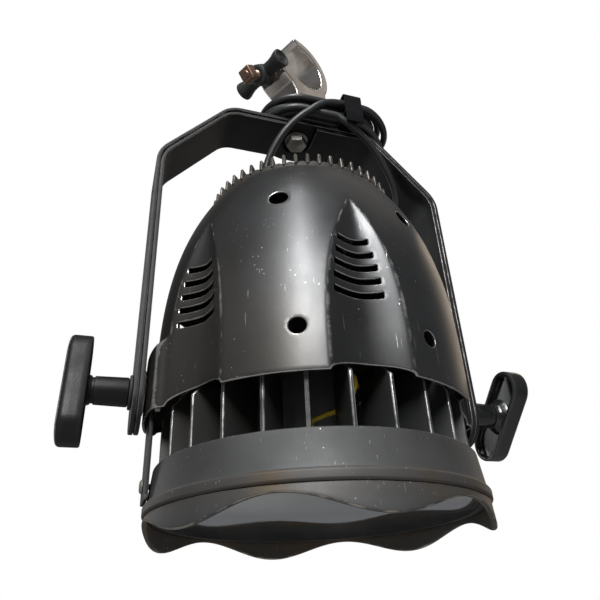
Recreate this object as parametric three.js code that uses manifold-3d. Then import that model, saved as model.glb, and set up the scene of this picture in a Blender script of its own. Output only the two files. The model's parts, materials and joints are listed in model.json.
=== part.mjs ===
// A par can: a round LED stage light in a cast shell, hung in two nested flat-bar
// brackets from a polished hook clamp, with its leads coiled round the clamp's foot.
//
// Millimetres, +Z up, the lamp shining straight down. The origin is the centre of the
// pipe that the hook clamp hangs on. Heights are measured from the groove round the
// front ring, and one group lowers the whole lamp from there to the origin. An azimuth
// is counted from the front, -Y, towards +X.
import * as THREE from 'three';
import * as BufferGeometryUtils from 'three/addons/utils/BufferGeometryUtils.js';
import Module from 'manifold-3d';

const wasm = await Module();
wasm.setup();

const GAP = 0.3;
const RING_SIDES = 44;

// Front ring, glass and light engine.
const GROOVE_R = 125;
const BEAD_R = 126.5;
const BEAD_TOP = 7.5;
const BAND_BOTTOM_R = 124;
const BAND_TOP_R = 121;
const BAND_TOP = 32.5;
const BAND_WALL = 3;
const HOOD_EDGE = -11.2;
const HOOD_WAVE = 6.4;
const HOOD_LOBES = 6;
const GLASS_R = 117;
const GLASS_BOTTOM = 0.5;
const GLASS_THICK = 4;
const BOARD_BOTTOM = 22;
const BOARD_R = 104;
const LENS_PITCH = 42;
const LENS_R = 18;

// Heat sink.
const SINK_BASE_BOTTOM = 24;
const SINK_BASE_TOP = 31;
const FIN_COUNT = 26;
const FIN_THICK = 2.2;
const FIN_INNER_R = 78;
const FIN_OUTER_R = 117.4;
const FIN_TOP = 79;
const FIN_CHAMFER = 9;
const COVER_R = 104;
const COVER_THICK = 1.6;
const COVER_HOLE_R = 6;

// Shell: two half shrouds and the finned rear cap.
const SHELL_BOTTOM = 66.6;
const SHELL_TOP = 266.8;
const SHELL_BOTTOM_R = 124.7;
const SHELL_TOP_R = 86.1;
const SHELL_FULLNESS = 3.4;
const SHELL_WALL = 2.5;
const SCOOP_AZIMUTHS = [0, 60, 120, 180, 240, 300];
const SCOOP_TIP = 210;
const SCOOP_HALF_ANGLE = 13.3;
const SCOOP_DEPTH = 6.5;
const SCOOP_LOW_SHARE = 0.62;
const LOUVRES = [[126, 9], [137.5, 8.6], [148.5, 8], [159.5, 7.1], [171, 6]];
const LOUVRE_HEIGHT = 5;
const BOSS_DEPTH = 7;
const BOSS_FLAT_ANGLE = 8;
const BOSS_HALF_ANGLE = 15;
const BOSS_TOP = 122;
const LOWER_HOLE = { offset: 22.5, height: 98, r: 6 };
const UPPER_HOLE = { offset: 28, height: 214, r: 7.5 };
const CAP_R = 83;
const CAP_BOTTOM = 256;
const CAP_DECK = 268;
const CAP_FINS = 52;
const CAP_FIN_THICK = 1.6;
const CAP_FIN_TIP = 280;

// Pivot, brackets and knobs.
const PIVOT_HEIGHT = 88;
const PIVOT_HOLE_R = 12.4;
const SIDE_BRACKET_X = 124.4;
const SIDE_BRACKET_THICK = 3;
const SIDE_BRACKET_WIDTH = 30;
const BAR_WIDTH = 48;
const BAR_THICK = 3.5;
const BEND_SHARE = 0.41;
const OUTER_BAR_X = 141;
const STAND_BAR_X = 137;
const ARM_BOTTOM = 58;
const OUTER_SHOULDER = 310;
const PLATE_TOP = 384;
const PLATE_HALF = 75;
const STAND_DROP = 6;
const STUD_R = 5;
const KNOB_NECK_R = 11;
const KNOB_NECK = 32;
const KNOB_WING = { long: 43, wide: 17, deep: 9 };

// Hook clamp.
const PIPE_ABOVE_PLATE = 95;
const PIPE_HEIGHT = PLATE_TOP + PIPE_ABOVE_PLATE;
const CLAMP_SWIVEL = 27;
const CLAMP_DEPTH = 36;
const HOOK_INNER_R = 29;
const HOOK_OUTER_R = 39.5;
const FOOT_R = 17.5;
const BOLT_DROP = 38;
const BOLT_R = 5;

// Leads: straight runs follow hand-placed points, the rest is wound round the clamp.
const CABLE_R = 3.5;
const CABLE_SIDES = 8;
const PLUG_R = 7.9;
const HANK = { bottom: 386.2, top: 407.4, innerR: 18.7, outerR: 40.2, length: 56 };
const FRONT_LEAD_ROUTE = [
  [-38, -6, 300.2], [-38, -7.5, 312], [-36.5, -11, 325], [-33, -17, 338], [-27, -24.5, 351],
  [-19, -31, 363], [-9, -36.5, 374], [2, -42.4, 382], [13, -45.2, 390.5], [22, -45, 395],
  [31, -45, 397], [42, -44.7, 397.6], [53, -44.5, 397.6],
];
const SIDE_LEAD_ROUTE = [
  [80.3, 14, 288.5], [90, 14, 289.4], [99, 13, 293.5], [106, 10.5, 301], [109.5, 6.5, 311],
  [109, 0.5, 321.5], [104.5, -6, 331], [98, -12, 339.5], [90, -18, 347.5], [81, -24, 355],
  [71, -30, 361.5], [60, -35.5, 366.5], [49, -39.5, 371], [39, -41.5, 376.5], [31, -41.5, 382],
];

const rad = THREE.MathUtils.degToRad;

function paint(color, roughness, metalness) {
  return new THREE.MeshStandardMaterial({ color, roughness, metalness });
}

const SATIN_BLACK = paint(0x2c2d2d, 0.42, 0.3);
const BAR_BLACK = paint(0x151616, 0.45, 0.3);
const CAST_GREY = paint(0x3a3a38, 0.5, 0.6);
const ALUMINIUM = paint(0xb4aea6, 0.2, 1);
const STEEL = paint(0x8a8984, 0.4, 1);
const BRONZE = paint(0x7d5a44, 0.45, 1);
const PLASTIC = paint(0x262726, 0.5, 0);
const RUBBER = paint(0x2e2f2f, 0.7, 0);
const GLASS = paint(0xb9bdbd, 0.05, 0);
const LENS = paint(0xd8dcdc, 0.1, 0);
const BOARD = paint(0xe4e4de, 0.5, 0);
const YELLOW = paint(0xc9a428, 0.5, 0);
const FABRIC = paint(0x15171a, 0.9, 0);

// ---- solids -----------------------------------------------------------------

function fromTriangles(vertProperties, corners) {
  const triVerts = Uint32Array.from(corners);
  return new wasm.Manifold(new wasm.Mesh({ numProp: 3, vertProperties, triVerts }));
}

/** A closed geometry as a solid that can be joined and cut. */
function solid(geometry) {
  const bare = geometry.clone();
  bare.deleteAttribute('normal');
  bare.deleteAttribute('uv');
  const merged = BufferGeometryUtils.mergeVertices(bare, 1e-4);
  const index = merged.index.array;
  const kept = [];
  for (let i = 0; i < index.length; i += 3) {
    const [a, b, c] = [index[i], index[i + 1], index[i + 2]];
    if (a !== b && b !== c && c !== a) {
      kept.push(a, b, c);
    }
  }
  const vertProperties = merged.attributes.position.array;
  const shape = fromTriangles(vertProperties, kept);
  if (shape.volume() > 0) {
    return shape;
  }
  const flipped = [];
  for (let i = 0; i < kept.length; i += 3) {
    flipped.push(kept[i], kept[i + 2], kept[i + 1]);
  }
  return fromTriangles(vertProperties, flipped);
}

function geometryOf(shape) {
  const { numProp, vertProperties, triVerts } = shape.getMesh();
  const geometry = new THREE.BufferGeometry();
  const corners = new Float32Array((vertProperties.length / numProp) * 3);
  for (let i = 0; i < corners.length / 3; i += 1) {
    corners.set(vertProperties.subarray(i * numProp, i * numProp + 3), i * 3);
  }
  geometry.setAttribute('position', new THREE.BufferAttribute(corners, 3));
  geometry.setIndex(new THREE.BufferAttribute(Uint32Array.from(triVerts), 1));
  geometry.computeVertexNormals();
  return geometry;
}

function joined(shapes) {
  return shapes.reduce((whole, shape) => whole.add(shape));
}

function cut(shape, holes) {
  return holes.length ? shape.subtract(joined(holes)) : shape;
}

/** A rod or cone from one point to another. */
function rod(from, to, r, endR = r, sides = 16) {
  const start = new THREE.Vector3(...from);
  const end = new THREE.Vector3(...to);
  const along = end.clone().sub(start);
  const geometry = new THREE.CylinderGeometry(endR, r, along.length(), sides);
  const standing = new THREE.Vector3(0, 1, 0);
  const turn = new THREE.Quaternion().setFromUnitVectors(standing, along.clone().normalize());
  geometry.applyQuaternion(turn);
  geometry.translate(...start.add(end).multiplyScalar(0.5).toArray());
  return solid(geometry);
}

function block(low, high) {
  const size = high.map((value, i) => value - low[i]);
  const geometry = new THREE.BoxGeometry(...size);
  geometry.translate(...low.map((value, i) => value + size[i] / 2));
  return solid(geometry);
}

/** A solid of revolution about Z from closed [radius, height] points. */
function turned(points, sides = 48) {
  const profile = points.map(([r, h]) => new THREE.Vector2(r, h));
  if (points[0][0] > 0) {
    profile.push(profile[0].clone());
  }
  const geometry = new THREE.LatheGeometry(profile, sides);
  geometry.rotateX(Math.PI / 2);
  return solid(geometry);
}

function outlineShape(points) {
  return new THREE.Shape(points.map(([x, y]) => new THREE.Vector2(x, y)));
}

/** An outline in X and Z, drawn out along Y and centred on it. */
function plateAcrossY(points, depth) {
  const geometry = new THREE.ExtrudeGeometry(outlineShape(points), { depth, bevelEnabled: false });
  geometry.translate(0, 0, -depth / 2);
  geometry.rotateX(Math.PI / 2);
  return solid(geometry);
}

function onAzimuth(azimuth, r, height) {
  return [r * Math.sin(rad(azimuth)), -r * Math.cos(rad(azimuth)), height];
}

/** A cross-section carried round the axis, where it may change with the azimuth. */
function carriedRound(azimuths, section, closed) {
  const rings = azimuths.map((azimuth) => section(azimuth).map(([r, h]) => onAzimuth(azimuth, r, h)));
  const size = rings[0].length;
  const index = [];
  const spans = closed ? rings.length : rings.length - 1;
  for (let i = 0; i < spans; i += 1) {
    const next = (i + 1) % rings.length;
    for (let j = 0; j < size; j += 1) {
      const after = (j + 1) % size;
      const [a, b] = [i * size + j, next * size + j];
      const [c, d] = [next * size + after, i * size + after];
      index.push(a, b, c, a, c, d);
    }
  }
  if (!closed) {
    const ends = [[azimuths[0], 0, false], [azimuths.at(-1), (rings.length - 1) * size, true]];
    for (const [azimuth, first, reversed] of ends) {
      const flat = section(azimuth).map(([r, h]) => new THREE.Vector2(r, h));
      for (const [a, b, c] of THREE.ShapeUtils.triangulateShape(flat, [])) {
        const face = [first + a, first + b, first + c];
        index.push(...(reversed === THREE.ShapeUtils.isClockWise(flat) ? face : face.reverse()));
      }
    }
  }
  const geometry = new THREE.BufferGeometry();
  geometry.setAttribute('position', new THREE.BufferAttribute(new Float32Array(rings.flat(2)), 3));
  geometry.setIndex(index);
  return solid(geometry);
}

function roundSteps(first, last, count) {
  return Array.from({ length: count }, (_, i) => first + ((last - first) * i) / (count - 1));
}

/** A round cable through its points. */
function cable(points, r, stepLength) {
  const corners = points.map((point) => new THREE.Vector3(...point));
  const path = new THREE.CatmullRomCurve3(corners, false, 'centripetal');
  const section = roundSteps(0, 2 * Math.PI, CABLE_SIDES + 1)
    .slice(0, -1)
    .map((angle) => [r * Math.cos(angle), r * Math.sin(angle)]);
  const steps = Math.max(2, Math.round(path.getLength() / stepLength));
  const settings = { steps, extrudePath: path, bevelEnabled: false };
  return solid(new THREE.ExtrudeGeometry(outlineShape(section), settings));
}

// ---- assembly ---------------------------------------------------------------

const parCan = new THREE.Group();
const lamp = new THREE.Group();
lamp.position.z = -PIPE_HEIGHT;
parCan.add(lamp);

function add(name, shape, material, group = lamp) {
  const mesh = new THREE.Mesh(geometryOf(shape), material);
  mesh.name = name;
  group.add(mesh);
}

// ---- front ring and light engine ---------------------------------------------

function frontRing() {
  const steps = roundSteps(0, 360, 73).slice(0, -1);
  const hood = carriedRound(
    steps,
    (azimuth) => {
      const edge = HOOD_EDGE - HOOD_WAVE * Math.cos(rad(azimuth * HOOD_LOBES));
      const inner = GROOVE_R - BAND_WALL;
      return [[GROOVE_R + 1, edge], [GROOVE_R, -GAP / 2], [inner, -GAP / 2], [inner + 0.5, edge]];
    },
    true,
  );
  add('hood_ring', hood, SATIN_BLACK);

  const ledge = GLASS_BOTTOM + GLASS_THICK + 3;
  const band = turned(
    [
      [BEAD_R - 1, GAP / 2], [BEAD_R, 2], [BEAD_R, BEAD_TOP - 2], [BAND_BOTTOM_R, BEAD_TOP],
      [BAND_TOP_R, BAND_TOP], [BAND_TOP_R - BAND_WALL, BAND_TOP], [BAND_TOP_R - BAND_WALL, ledge],
      [GROOVE_R - BAND_WALL, ledge], [GROOVE_R - BAND_WALL, GAP / 2],
    ],
    RING_SIDES,
  );
  const screwHoles = [-1, 1].map((side) => rod([side * 110, 0, 20], [side * 130, 0, 20], 2.3));
  add('front_band', cut(band, screwHoles), SATIN_BLACK);

  const glassTop = GLASS_BOTTOM + GLASS_THICK;
  const glass = [[0, GLASS_BOTTOM], [GLASS_R, GLASS_BOTTOM], [GLASS_R, glassTop], [0, glassTop]];
  add('front_glass', turned(glass, RING_SIDES), GLASS);
  const sealOuter = GROOVE_R - BAND_WALL - GAP;
  add(
    'glass_seal',
    turned([
      [GLASS_R - 4, glassTop + GAP], [GLASS_R + GAP, glassTop + GAP], [GLASS_R + GAP, GLASS_BOTTOM - 1],
      [sealOuter, GLASS_BOTTOM - 1], [sealOuter, ledge - GAP], [GLASS_R - 4, ledge - GAP],
    ], RING_SIDES),
    RUBBER,
  );
}

function lensPlaces() {
  const places = [[0, 0]];
  for (const [ring, count] of [[1, 6], [2, 12]]) {
    for (let i = 0; i < count; i += 1) {
      const angle = rad((360 / count) * i);
      places.push([ring * LENS_PITCH * Math.cos(angle), ring * LENS_PITCH * Math.sin(angle)]);
    }
  }
  return places;
}

function lightEngine() {
  const boardTop = BOARD_BOTTOM + 1.6;
  const board = turned([[0, BOARD_BOTTOM], [BOARD_R, BOARD_BOTTOM], [BOARD_R, boardTop], [0, boardTop]]);
  const chips = lensPlaces().map(([x, y]) =>
    block([x - 2.5, y - 2.5, BOARD_BOTTOM - 1], [x + 2.5, y + 2.5, BOARD_BOTTOM + 0.5]));
  add('led_board', joined([board, ...chips]), BOARD);

  const plate = turned([[0, 12], [BOARD_R + 4, 12], [BOARD_R + 4, 14.5], [0, 14.5]]);
  const lenses = lensPlaces().map(([x, y]) => rod([x, y, 14], [x, y, 20.5], LENS_R, 8, 8));
  add('lens_plate', joined([plate, ...lenses]), LENS);
}

/** A fin from its outline in radius and height, turned about Z by an angle from +X. */
function radialFin(outline, thick, angle) {
  const geometry = new THREE.ExtrudeGeometry(outlineShape(outline), { depth: thick, bevelEnabled: false });
  geometry.translate(0, 0, -thick / 2);
  geometry.rotateX(Math.PI / 2);
  geometry.rotateZ(rad(angle));
  return solid(geometry);
}

function heatSink() {
  const base = turned([
    [0, SINK_BASE_BOTTOM], [BAND_TOP_R - BAND_WALL - GAP, SINK_BASE_BOTTOM],
    [BAND_TOP_R - BAND_WALL - GAP, SINK_BASE_TOP], [0, SINK_BASE_TOP],
  ], 52);
  const outline = [
    [FIN_INNER_R, SINK_BASE_TOP - 1], [FIN_OUTER_R, SINK_BASE_TOP - 1], [FIN_OUTER_R, FIN_TOP - FIN_CHAMFER],
    [FIN_OUTER_R - FIN_CHAMFER, FIN_TOP], [FIN_INNER_R, FIN_TOP],
  ];
  const fins = Array.from({ length: FIN_COUNT }, (_, i) =>
    radialFin(outline, FIN_THICK, -90 + ((i + 0.5) * 360) / FIN_COUNT));
  add('heat_sink', joined([base, ...fins]), CAST_GREY);
}

// ---- shell ------------------------------------------------------------------

function shellRadius(height) {
  const up = (height - SHELL_BOTTOM) / (SHELL_TOP - SHELL_BOTTOM);
  return SHELL_BOTTOM_R - (SHELL_BOTTOM_R - SHELL_TOP_R) * up ** SHELL_FULLNESS;
}

function angleApart(a, b) {
  return Math.abs(((a - b + 540) % 360) - 180);
}

/** How far the shell's face is out of the plain curve: in at the louvred scoops, out at the bosses. */
function bulge(azimuth, height) {
  const up = (height - SHELL_BOTTOM) / (SCOOP_TIP - SHELL_BOTTOM);
  const halfAngle = SCOOP_HALF_ANGLE * (1 - Math.min(up, 1) ** 3.2);
  const opening = SCOOP_LOW_SHARE + (1 - SCOOP_LOW_SHARE) * Math.min(1, Math.max(0, up * 4));
  const depth = SCOOP_DEPTH * opening * (1 - up ** 2.2);
  let out = 0;
  for (const scoop of SCOOP_AZIMUTHS) {
    const across = halfAngle > 0 ? angleApart(azimuth, scoop) / halfAngle : 1;
    out = Math.min(out, -Math.max(0, depth) * Math.max(0, 1 - across ** 2));
  }
  for (const side of [90, 270]) {
    const beyond = (angleApart(azimuth, side) - BOSS_FLAT_ANGLE) / (BOSS_HALF_ANGLE - BOSS_FLAT_ANGLE);
    const flat = 1 - THREE.MathUtils.smoothstep(beyond, 0, 1);
    const low = 1 - THREE.MathUtils.smoothstep(height, BOSS_TOP - 16, BOSS_TOP);
    out = Math.max(out, BOSS_DEPTH * flat * low);
  }
  return out;
}

function shellSection(azimuth) {
  const heights = [SHELL_BOTTOM, 104, 122, 145, 172, 200, 225, 248, SHELL_TOP];
  const outer = heights.map((height) => [shellRadius(height) + bulge(azimuth, height), height]);
  const inner = outer.map(([r, height]) => [r - SHELL_WALL, height]).reverse();
  return [...outer, ...inner];
}

function louvreCutters(scoop) {
  return LOUVRES.map(([height, halfAngle]) => {
    const width = 2 * shellRadius(height) * Math.sin(rad(halfAngle));
    const geometry = new THREE.BoxGeometry(width, 30, LOUVRE_HEIGHT);
    geometry.translate(0, -shellRadius(height) - 5, height);
    geometry.rotateZ(rad(scoop));
    return solid(geometry);
  });
}

function roundHole(azimuth, { height, r }) {
  return rod(onAzimuth(azimuth, 85, height), onAzimuth(azimuth, 140, height), r, r, 16);
}

function shroud(name, centre) {
  const seam = 0.08;
  const half = carriedRound(roundSteps(centre - 90 + seam, centre + 90 - seam, 33), shellSection, false);
  const louvres = [-60, 0, 60].flatMap((offset) => louvreCutters(centre + offset));
  const holes = [-1, 1].flatMap((side) => [
    roundHole(centre + side * LOWER_HOLE.offset, LOWER_HOLE),
    roundHole(centre + side * UPPER_HOLE.offset, UPPER_HOLE),
  ]);
  const pivots = [-1, 1].map((side) =>
    rod([side * 110, 0, PIVOT_HEIGHT], [side * 140, 0, PIVOT_HEIGHT], PIVOT_HOLE_R, PIVOT_HOLE_R, 24));
  add(name, cut(half, [...louvres, ...holes, ...pivots]), SATIN_BLACK);
}

function rearCap() {
  const deck = turned([
    [0, CAP_BOTTOM + 3], [CAP_R - 6, CAP_BOTTOM + 3], [CAP_R - 4, CAP_BOTTOM], [CAP_R, CAP_BOTTOM + 4],
    [CAP_R, CAP_DECK], [0, CAP_DECK],
  ], CAP_FINS);
  const outline = [
    [CAP_R - 28, CAP_DECK - 1], [CAP_R - 1, CAP_DECK - 1], [CAP_R + 2, CAP_DECK + 2], [CAP_R, CAP_FIN_TIP],
  ];
  const fins = Array.from({ length: CAP_FINS }, (_, i) =>
    radialFin(outline, CAP_FIN_THICK, (i * 360) / CAP_FINS));
  const screwHoles = capScrewPlaces().map(([x, y]) =>
    rod([x, y, CAP_BOTTOM - 2], [x, y, CAP_DECK + 2], 2.3, 2.3, 10));
  add('rear_cap', cut(joined([deck, ...fins]), screwHoles), CAST_GREY);
  capScrewPlaces().forEach(([x, y], i) => {
    const shank = rod([x, y, CAP_DECK - 14], [x, y, CAP_DECK + 1], 2, 2, 10);
    const head = rod([x, y, CAP_DECK + GAP], [x, y, CAP_DECK + 3], 4.2, 3.6, 12);
    add(`cap_screw_${i + 1}`, shank.add(head), STEEL);
  });
}

function capScrewPlaces() {
  return [45, 135, 225, 315].map((azimuth) => onAzimuth(azimuth, 53, 0).slice(0, 2));
}

// ---- driver and wiring inside the shell ------------------------------------------

function insides() {
  const plate = block([-42, -42, 240], [42, 42, 243]);
  const legs = capScrewPlaces().map(([x, y]) => rod([x, y, 239], [x, y, CAP_BOTTOM + 3 - GAP], 5, 5, 10));
  const threads = capScrewPlaces().map(([x, y]) => rod([x, y, 238], [x, y, 262], 2.3, 2.3, 10));
  add('driver_bracket', cut(joined([plate, ...legs]), threads), STEEL);
  add('driver_module', block([-30, -26, 168], [30, 26, 240 - GAP]), CAST_GREY);
  add('terminal_block', block([18, -48, 128], [42, -36, 142]), PLASTIC);
  add('terminal_bracket', block([16, -35.7, 126], [44, -33.7, 168 - GAP]), STEEL);
  const wireHoles = [[32.2, -56.6], [30.2, -31.6]].map(([x, y]) =>
    rod([x, y, FIN_TOP - 2], [x, y, FIN_TOP + 5], COVER_HOLE_R, COVER_HOLE_R, 16));
  const cover = rod([0, 0, FIN_TOP + GAP], [0, 0, FIN_TOP + GAP + COVER_THICK], COVER_R, COVER_R, 44);
  add('sink_cover', cut(cover, wireHoles), STEEL);
  const wire = [
    [24, -42, 127.6], [25, -44, 112], [30, -52, 92], [34, -61, 70], [35, -64, 50], [34, -62, 31.4],
  ];
  add('earth_wire', cable(wire, 1.6, 10), YELLOW);
  const feed = [[36, -42, 127.6], [37, -41, 110], [32, -34, 85], [20, -26, 60], [12, -22, 31.4]];
  add('feed_wire', cable(feed, 1.6, 12), RUBBER);
}

// ---- pivots and brackets -----------------------------------------------------------

function pivotSide(side, word, knobLean) {
  const at = (x, y, height) => [side * x, y, height];
  const across = (from, to, r, endR = r, sides = 20, y = 0, height = PIVOT_HEIGHT) =>
    rod(at(from, y, height), at(to, y, height), r, endR, sides);
  const bracketOuter = SIDE_BRACKET_X + SIDE_BRACKET_THICK;
  const half = SIDE_BRACKET_WIDTH / 2;

  const xs = [side * SIDE_BRACKET_X, side * bracketOuter].sort((a, b) => a - b);
  const strip = block([xs[0], -half, 9], [xs[1], half, PIVOT_HEIGHT]);
  const bracket = strip.add(across(SIDE_BRACKET_X, bracketOuter, half, half, 24));
  const holes = [across(120, 132, 9.3, 9.3, 20), across(120, 132, 2.3, 2.3, 10, 0, 20)];
  add(`side_bracket_${word}`, cut(bracket, holes), BAR_BLACK);

  const screw = across(118.5, bracketOuter + 1, 2, 2, 10, 0, 20);
  const screwHead = across(bracketOuter + GAP, bracketOuter + 2.4, 5, 4, 12, 0, 20);
  add(`bracket_screw_${word}`, screw.add(screwHead), STEEL);

  const standInner = STAND_BAR_X - BAR_THICK;
  const bush = joined([
    across(117, standInner - GAP, 9, 9, 20),
    across(SIDE_BRACKET_X - 5, SIDE_BRACKET_X - GAP, 13, 13, 20),
    across(standInner - 1.4, standInner - GAP, 17, 17, 24),
  ]);
  const bore = across(112, 140, STUD_R + GAP, STUD_R + GAP, 16);
  add(`pivot_bush_${word}`, cut(bush, [bore]), STEEL);

  const washerInner = OUTER_BAR_X + GAP;
  const neckStart = washerInner + 2 + GAP;
  const neckEnd = neckStart + KNOB_NECK;
  const washerBore = across(140, 150, STUD_R + GAP);
  add(`knob_washer_${word}`, cut(across(washerInner, washerInner + 2, 13, 13, 20), [washerBore]), RUBBER);
  add(`knob_stud_${word}`, across(119, neckEnd - 4, STUD_R, STUD_R, 16), STEEL);

  const wing = new THREE.SphereGeometry(1, 18, 10);
  wing.scale(KNOB_WING.deep, KNOB_WING.wide, KNOB_WING.long);
  wing.rotateX(rad(knobLean));
  wing.translate(side * (neckEnd + KNOB_WING.deep - 3), 0, PIVOT_HEIGHT);
  const neck = across(neckStart, neckEnd + 4, KNOB_NECK_R, KNOB_NECK_R - 2, 20);
  const socket = across(neckStart - 2, neckEnd - 3.6, STUD_R + GAP, STUD_R + GAP, 16);
  add(`knob_${word}`, cut(neck.add(solid(wing)), [socket]), PLASTIC);
}

/** A flat bar bent into a bracket: the outline of its bent edge in X and Z. */
function bentBar(outerX, shoulder, top, corner) {
  const right = [
    [outerX, ARM_BOTTOM + 6], [outerX, shoulder - corner], [outerX - 0.3 * corner, shoulder + 0.62 * corner],
    [PLATE_HALF + 0.7 * corner, top - 0.75 * corner], [PLATE_HALF - 0.5 * corner, top],
  ];
  const left = right.map(([x, z]) => [-x, z]).reverse();
  return [...right, ...left];
}

function bracketSolid(outerX, top) {
  const corner = 12;
  const shoulder = OUTER_SHOULDER - (PLATE_TOP - top) * BEND_SHARE;
  const innerShoulder = shoulder - BAR_THICK * BEND_SHARE;
  const roundedAt = ARM_BOTTOM + BAR_WIDTH / 2 - 1;
  const outer = bentBar(outerX, shoulder, top, corner);
  const inner = bentBar(outerX - BAR_THICK, innerShoulder, top - BAR_THICK, corner);
  const body = plateAcrossY([...outer, ...inner.reverse()], BAR_WIDTH);
  const end = [-1, 1].map((side) => {
    const xs = [side * (outerX - BAR_THICK), side * outerX].sort((a, b) => a - b);
    const rounded = rod([xs[0], 0, roundedAt], [xs[1], 0, roundedAt], BAR_WIDTH / 2, BAR_WIDTH / 2, 32);
    const below = block([xs[0] - 1, -40, ARM_BOTTOM - 10], [xs[1] + 1, 40, roundedAt]);
    return { rounded, below };
  });
  const squared = cut(body, end.map(({ below }) => below));
  const studBore = STUD_R + GAP;
  const pivotHoles = [-1, 1].map((side) =>
    rod([side * (outerX - 10), 0, PIVOT_HEIGHT], [side * (outerX + 5), 0, PIVOT_HEIGHT],
      studBore, studBore, 20));
  return cut(joined([squared, ...end.map(({ rounded }) => rounded)]), pivotHoles);
}

function brackets() {
  const outer = bracketSolid(OUTER_BAR_X, PLATE_TOP);
  const boltHole = rod([0, 0, PLATE_TOP - 10], [0, 0, PLATE_TOP + 5], 6.3, 6.3, 20);
  add('outer_yoke', cut(outer, [boltHole]), BAR_BLACK);

  const stand = bracketSolid(STAND_BAR_X, PLATE_TOP - STAND_DROP);
  const slotEnd = rod([0, 0, PLATE_TOP - 20], [0, 0, PLATE_TOP], 15, 15, 24);
  const slot = block([-15, -BAR_WIDTH, PLATE_TOP - 20], [15, 0, PLATE_TOP]);
  add('stand_yoke', cut(stand, [slotEnd, slot]), BAR_BLACK);
}

// ---- hook clamp ----------------------------------------------------------------------

function arcPoints(r, from, to, count) {
  return roundSteps(from, to, count).map((angle) => [r * Math.cos(rad(angle)), r * Math.sin(rad(angle))]);
}

function clamp() {
  const group = new THREE.Group();
  group.rotation.z = rad(CLAMP_SWIVEL);
  parCan.add(group);
  const foot = -PIPE_ABOVE_PLATE;
  const away = [-Math.cos(rad(BOLT_DROP)), -Math.sin(rad(BOLT_DROP))];
  const onBolt = (distance, lift = 0) => [
    away[0] * distance + away[1] * -lift, 0, away[1] * distance + away[0] * lift,
  ];

  const profile = [
    [-13, foot + 26], [13, foot + 26], [23, foot + 38], [33, foot + 56],
    ...arcPoints(HOOK_OUTER_R, -28, 92, 13), [-12, 38.5], [-14, 35], [-8, 30],
    ...arcPoints(HOOK_INNER_R, 89, -158, 19), [-34.5, -14], [-39, -20.5], [-30, -32], [-20, -38], [-13, -48],
  ];
  const hookBody = plateAcrossY(profile, CLAMP_DEPTH);
  const base = joined([
    rod([0, 0, foot + GAP], [0, 0, foot + 14], FOOT_R, FOOT_R, 28),
    rod([0, 0, foot + 12], [0, 0, foot + 30], FOOT_R, 15, 28),
  ]);
  const hookHoles = [
    rod(onBolt(20), onBolt(60), BOLT_R + GAP, BOLT_R + GAP, 20),
    rod([0, 0, foot - 2], [0, 0, foot + 24], 6.3, 6.3, 20),
  ];
  add('clamp_hook', cut(hookBody.add(base), hookHoles), ALUMINIUM, group);

  const shank = rod(onBolt(29.5), onBolt(80), BOLT_R, BOLT_R, 16);
  const squareHead = rod(onBolt(75), onBolt(84), 8, 8, 4);
  add('clamp_bolt', shank.add(squareHead), BRONZE, group);

  const hubStart = 50;
  const hubEnd = 70;
  const [hx, , hz] = onBolt((hubStart + hubEnd) / 2);
  const lobe = (side) => joined([
    rod([hx, 0, hz], [hx, side * 20, hz], 7.5, 6.5, 12),
    rod([hx, side * 18, hz], [hx, side * 31, hz], 6.5, 9.5, 12),
  ]);
  const hub = rod(onBolt(hubStart), onBolt(hubEnd), 11.5, 10.5, 20);
  const handleBore = rod(onBolt(hubStart - 5), onBolt(hubEnd + 5), BOLT_R + GAP, BOLT_R + GAP, 20);
  add('clamp_handle', cut(joined([hub, lobe(1), lobe(-1)]), [handleBore]), PLASTIC, group);

  const plateUnder = foot - BAR_THICK;
  const washer = rod([0, 0, plateUnder - 2 - GAP], [0, 0, plateUnder - GAP], 12, 12, 24);
  const shankHole = rod([0, 0, plateUnder - 6], [0, 0, plateUnder], 6.3, 6.3, 20);
  add('mounting_washer', cut(washer, [shankHole]), STEEL, group);
  const head = rod([0, 0, plateUnder - 10], [0, 0, plateUnder - 2 - 2 * GAP], 11, 11, 6);
  add('mounting_bolt', head.add(rod([0, 0, plateUnder - 5], [0, 0, foot + 22], 6, 6, 16)), STEEL, group);
}

// ---- leads, glands and tie -------------------------------------------------------------

function racetrack(r) {
  const right = arcPoints(r, -90, 90, 14).map(([x, y]) => [x + HANK.length, y]);
  return [...right, ...arcPoints(r, 90, 270, 14)];
}

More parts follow.
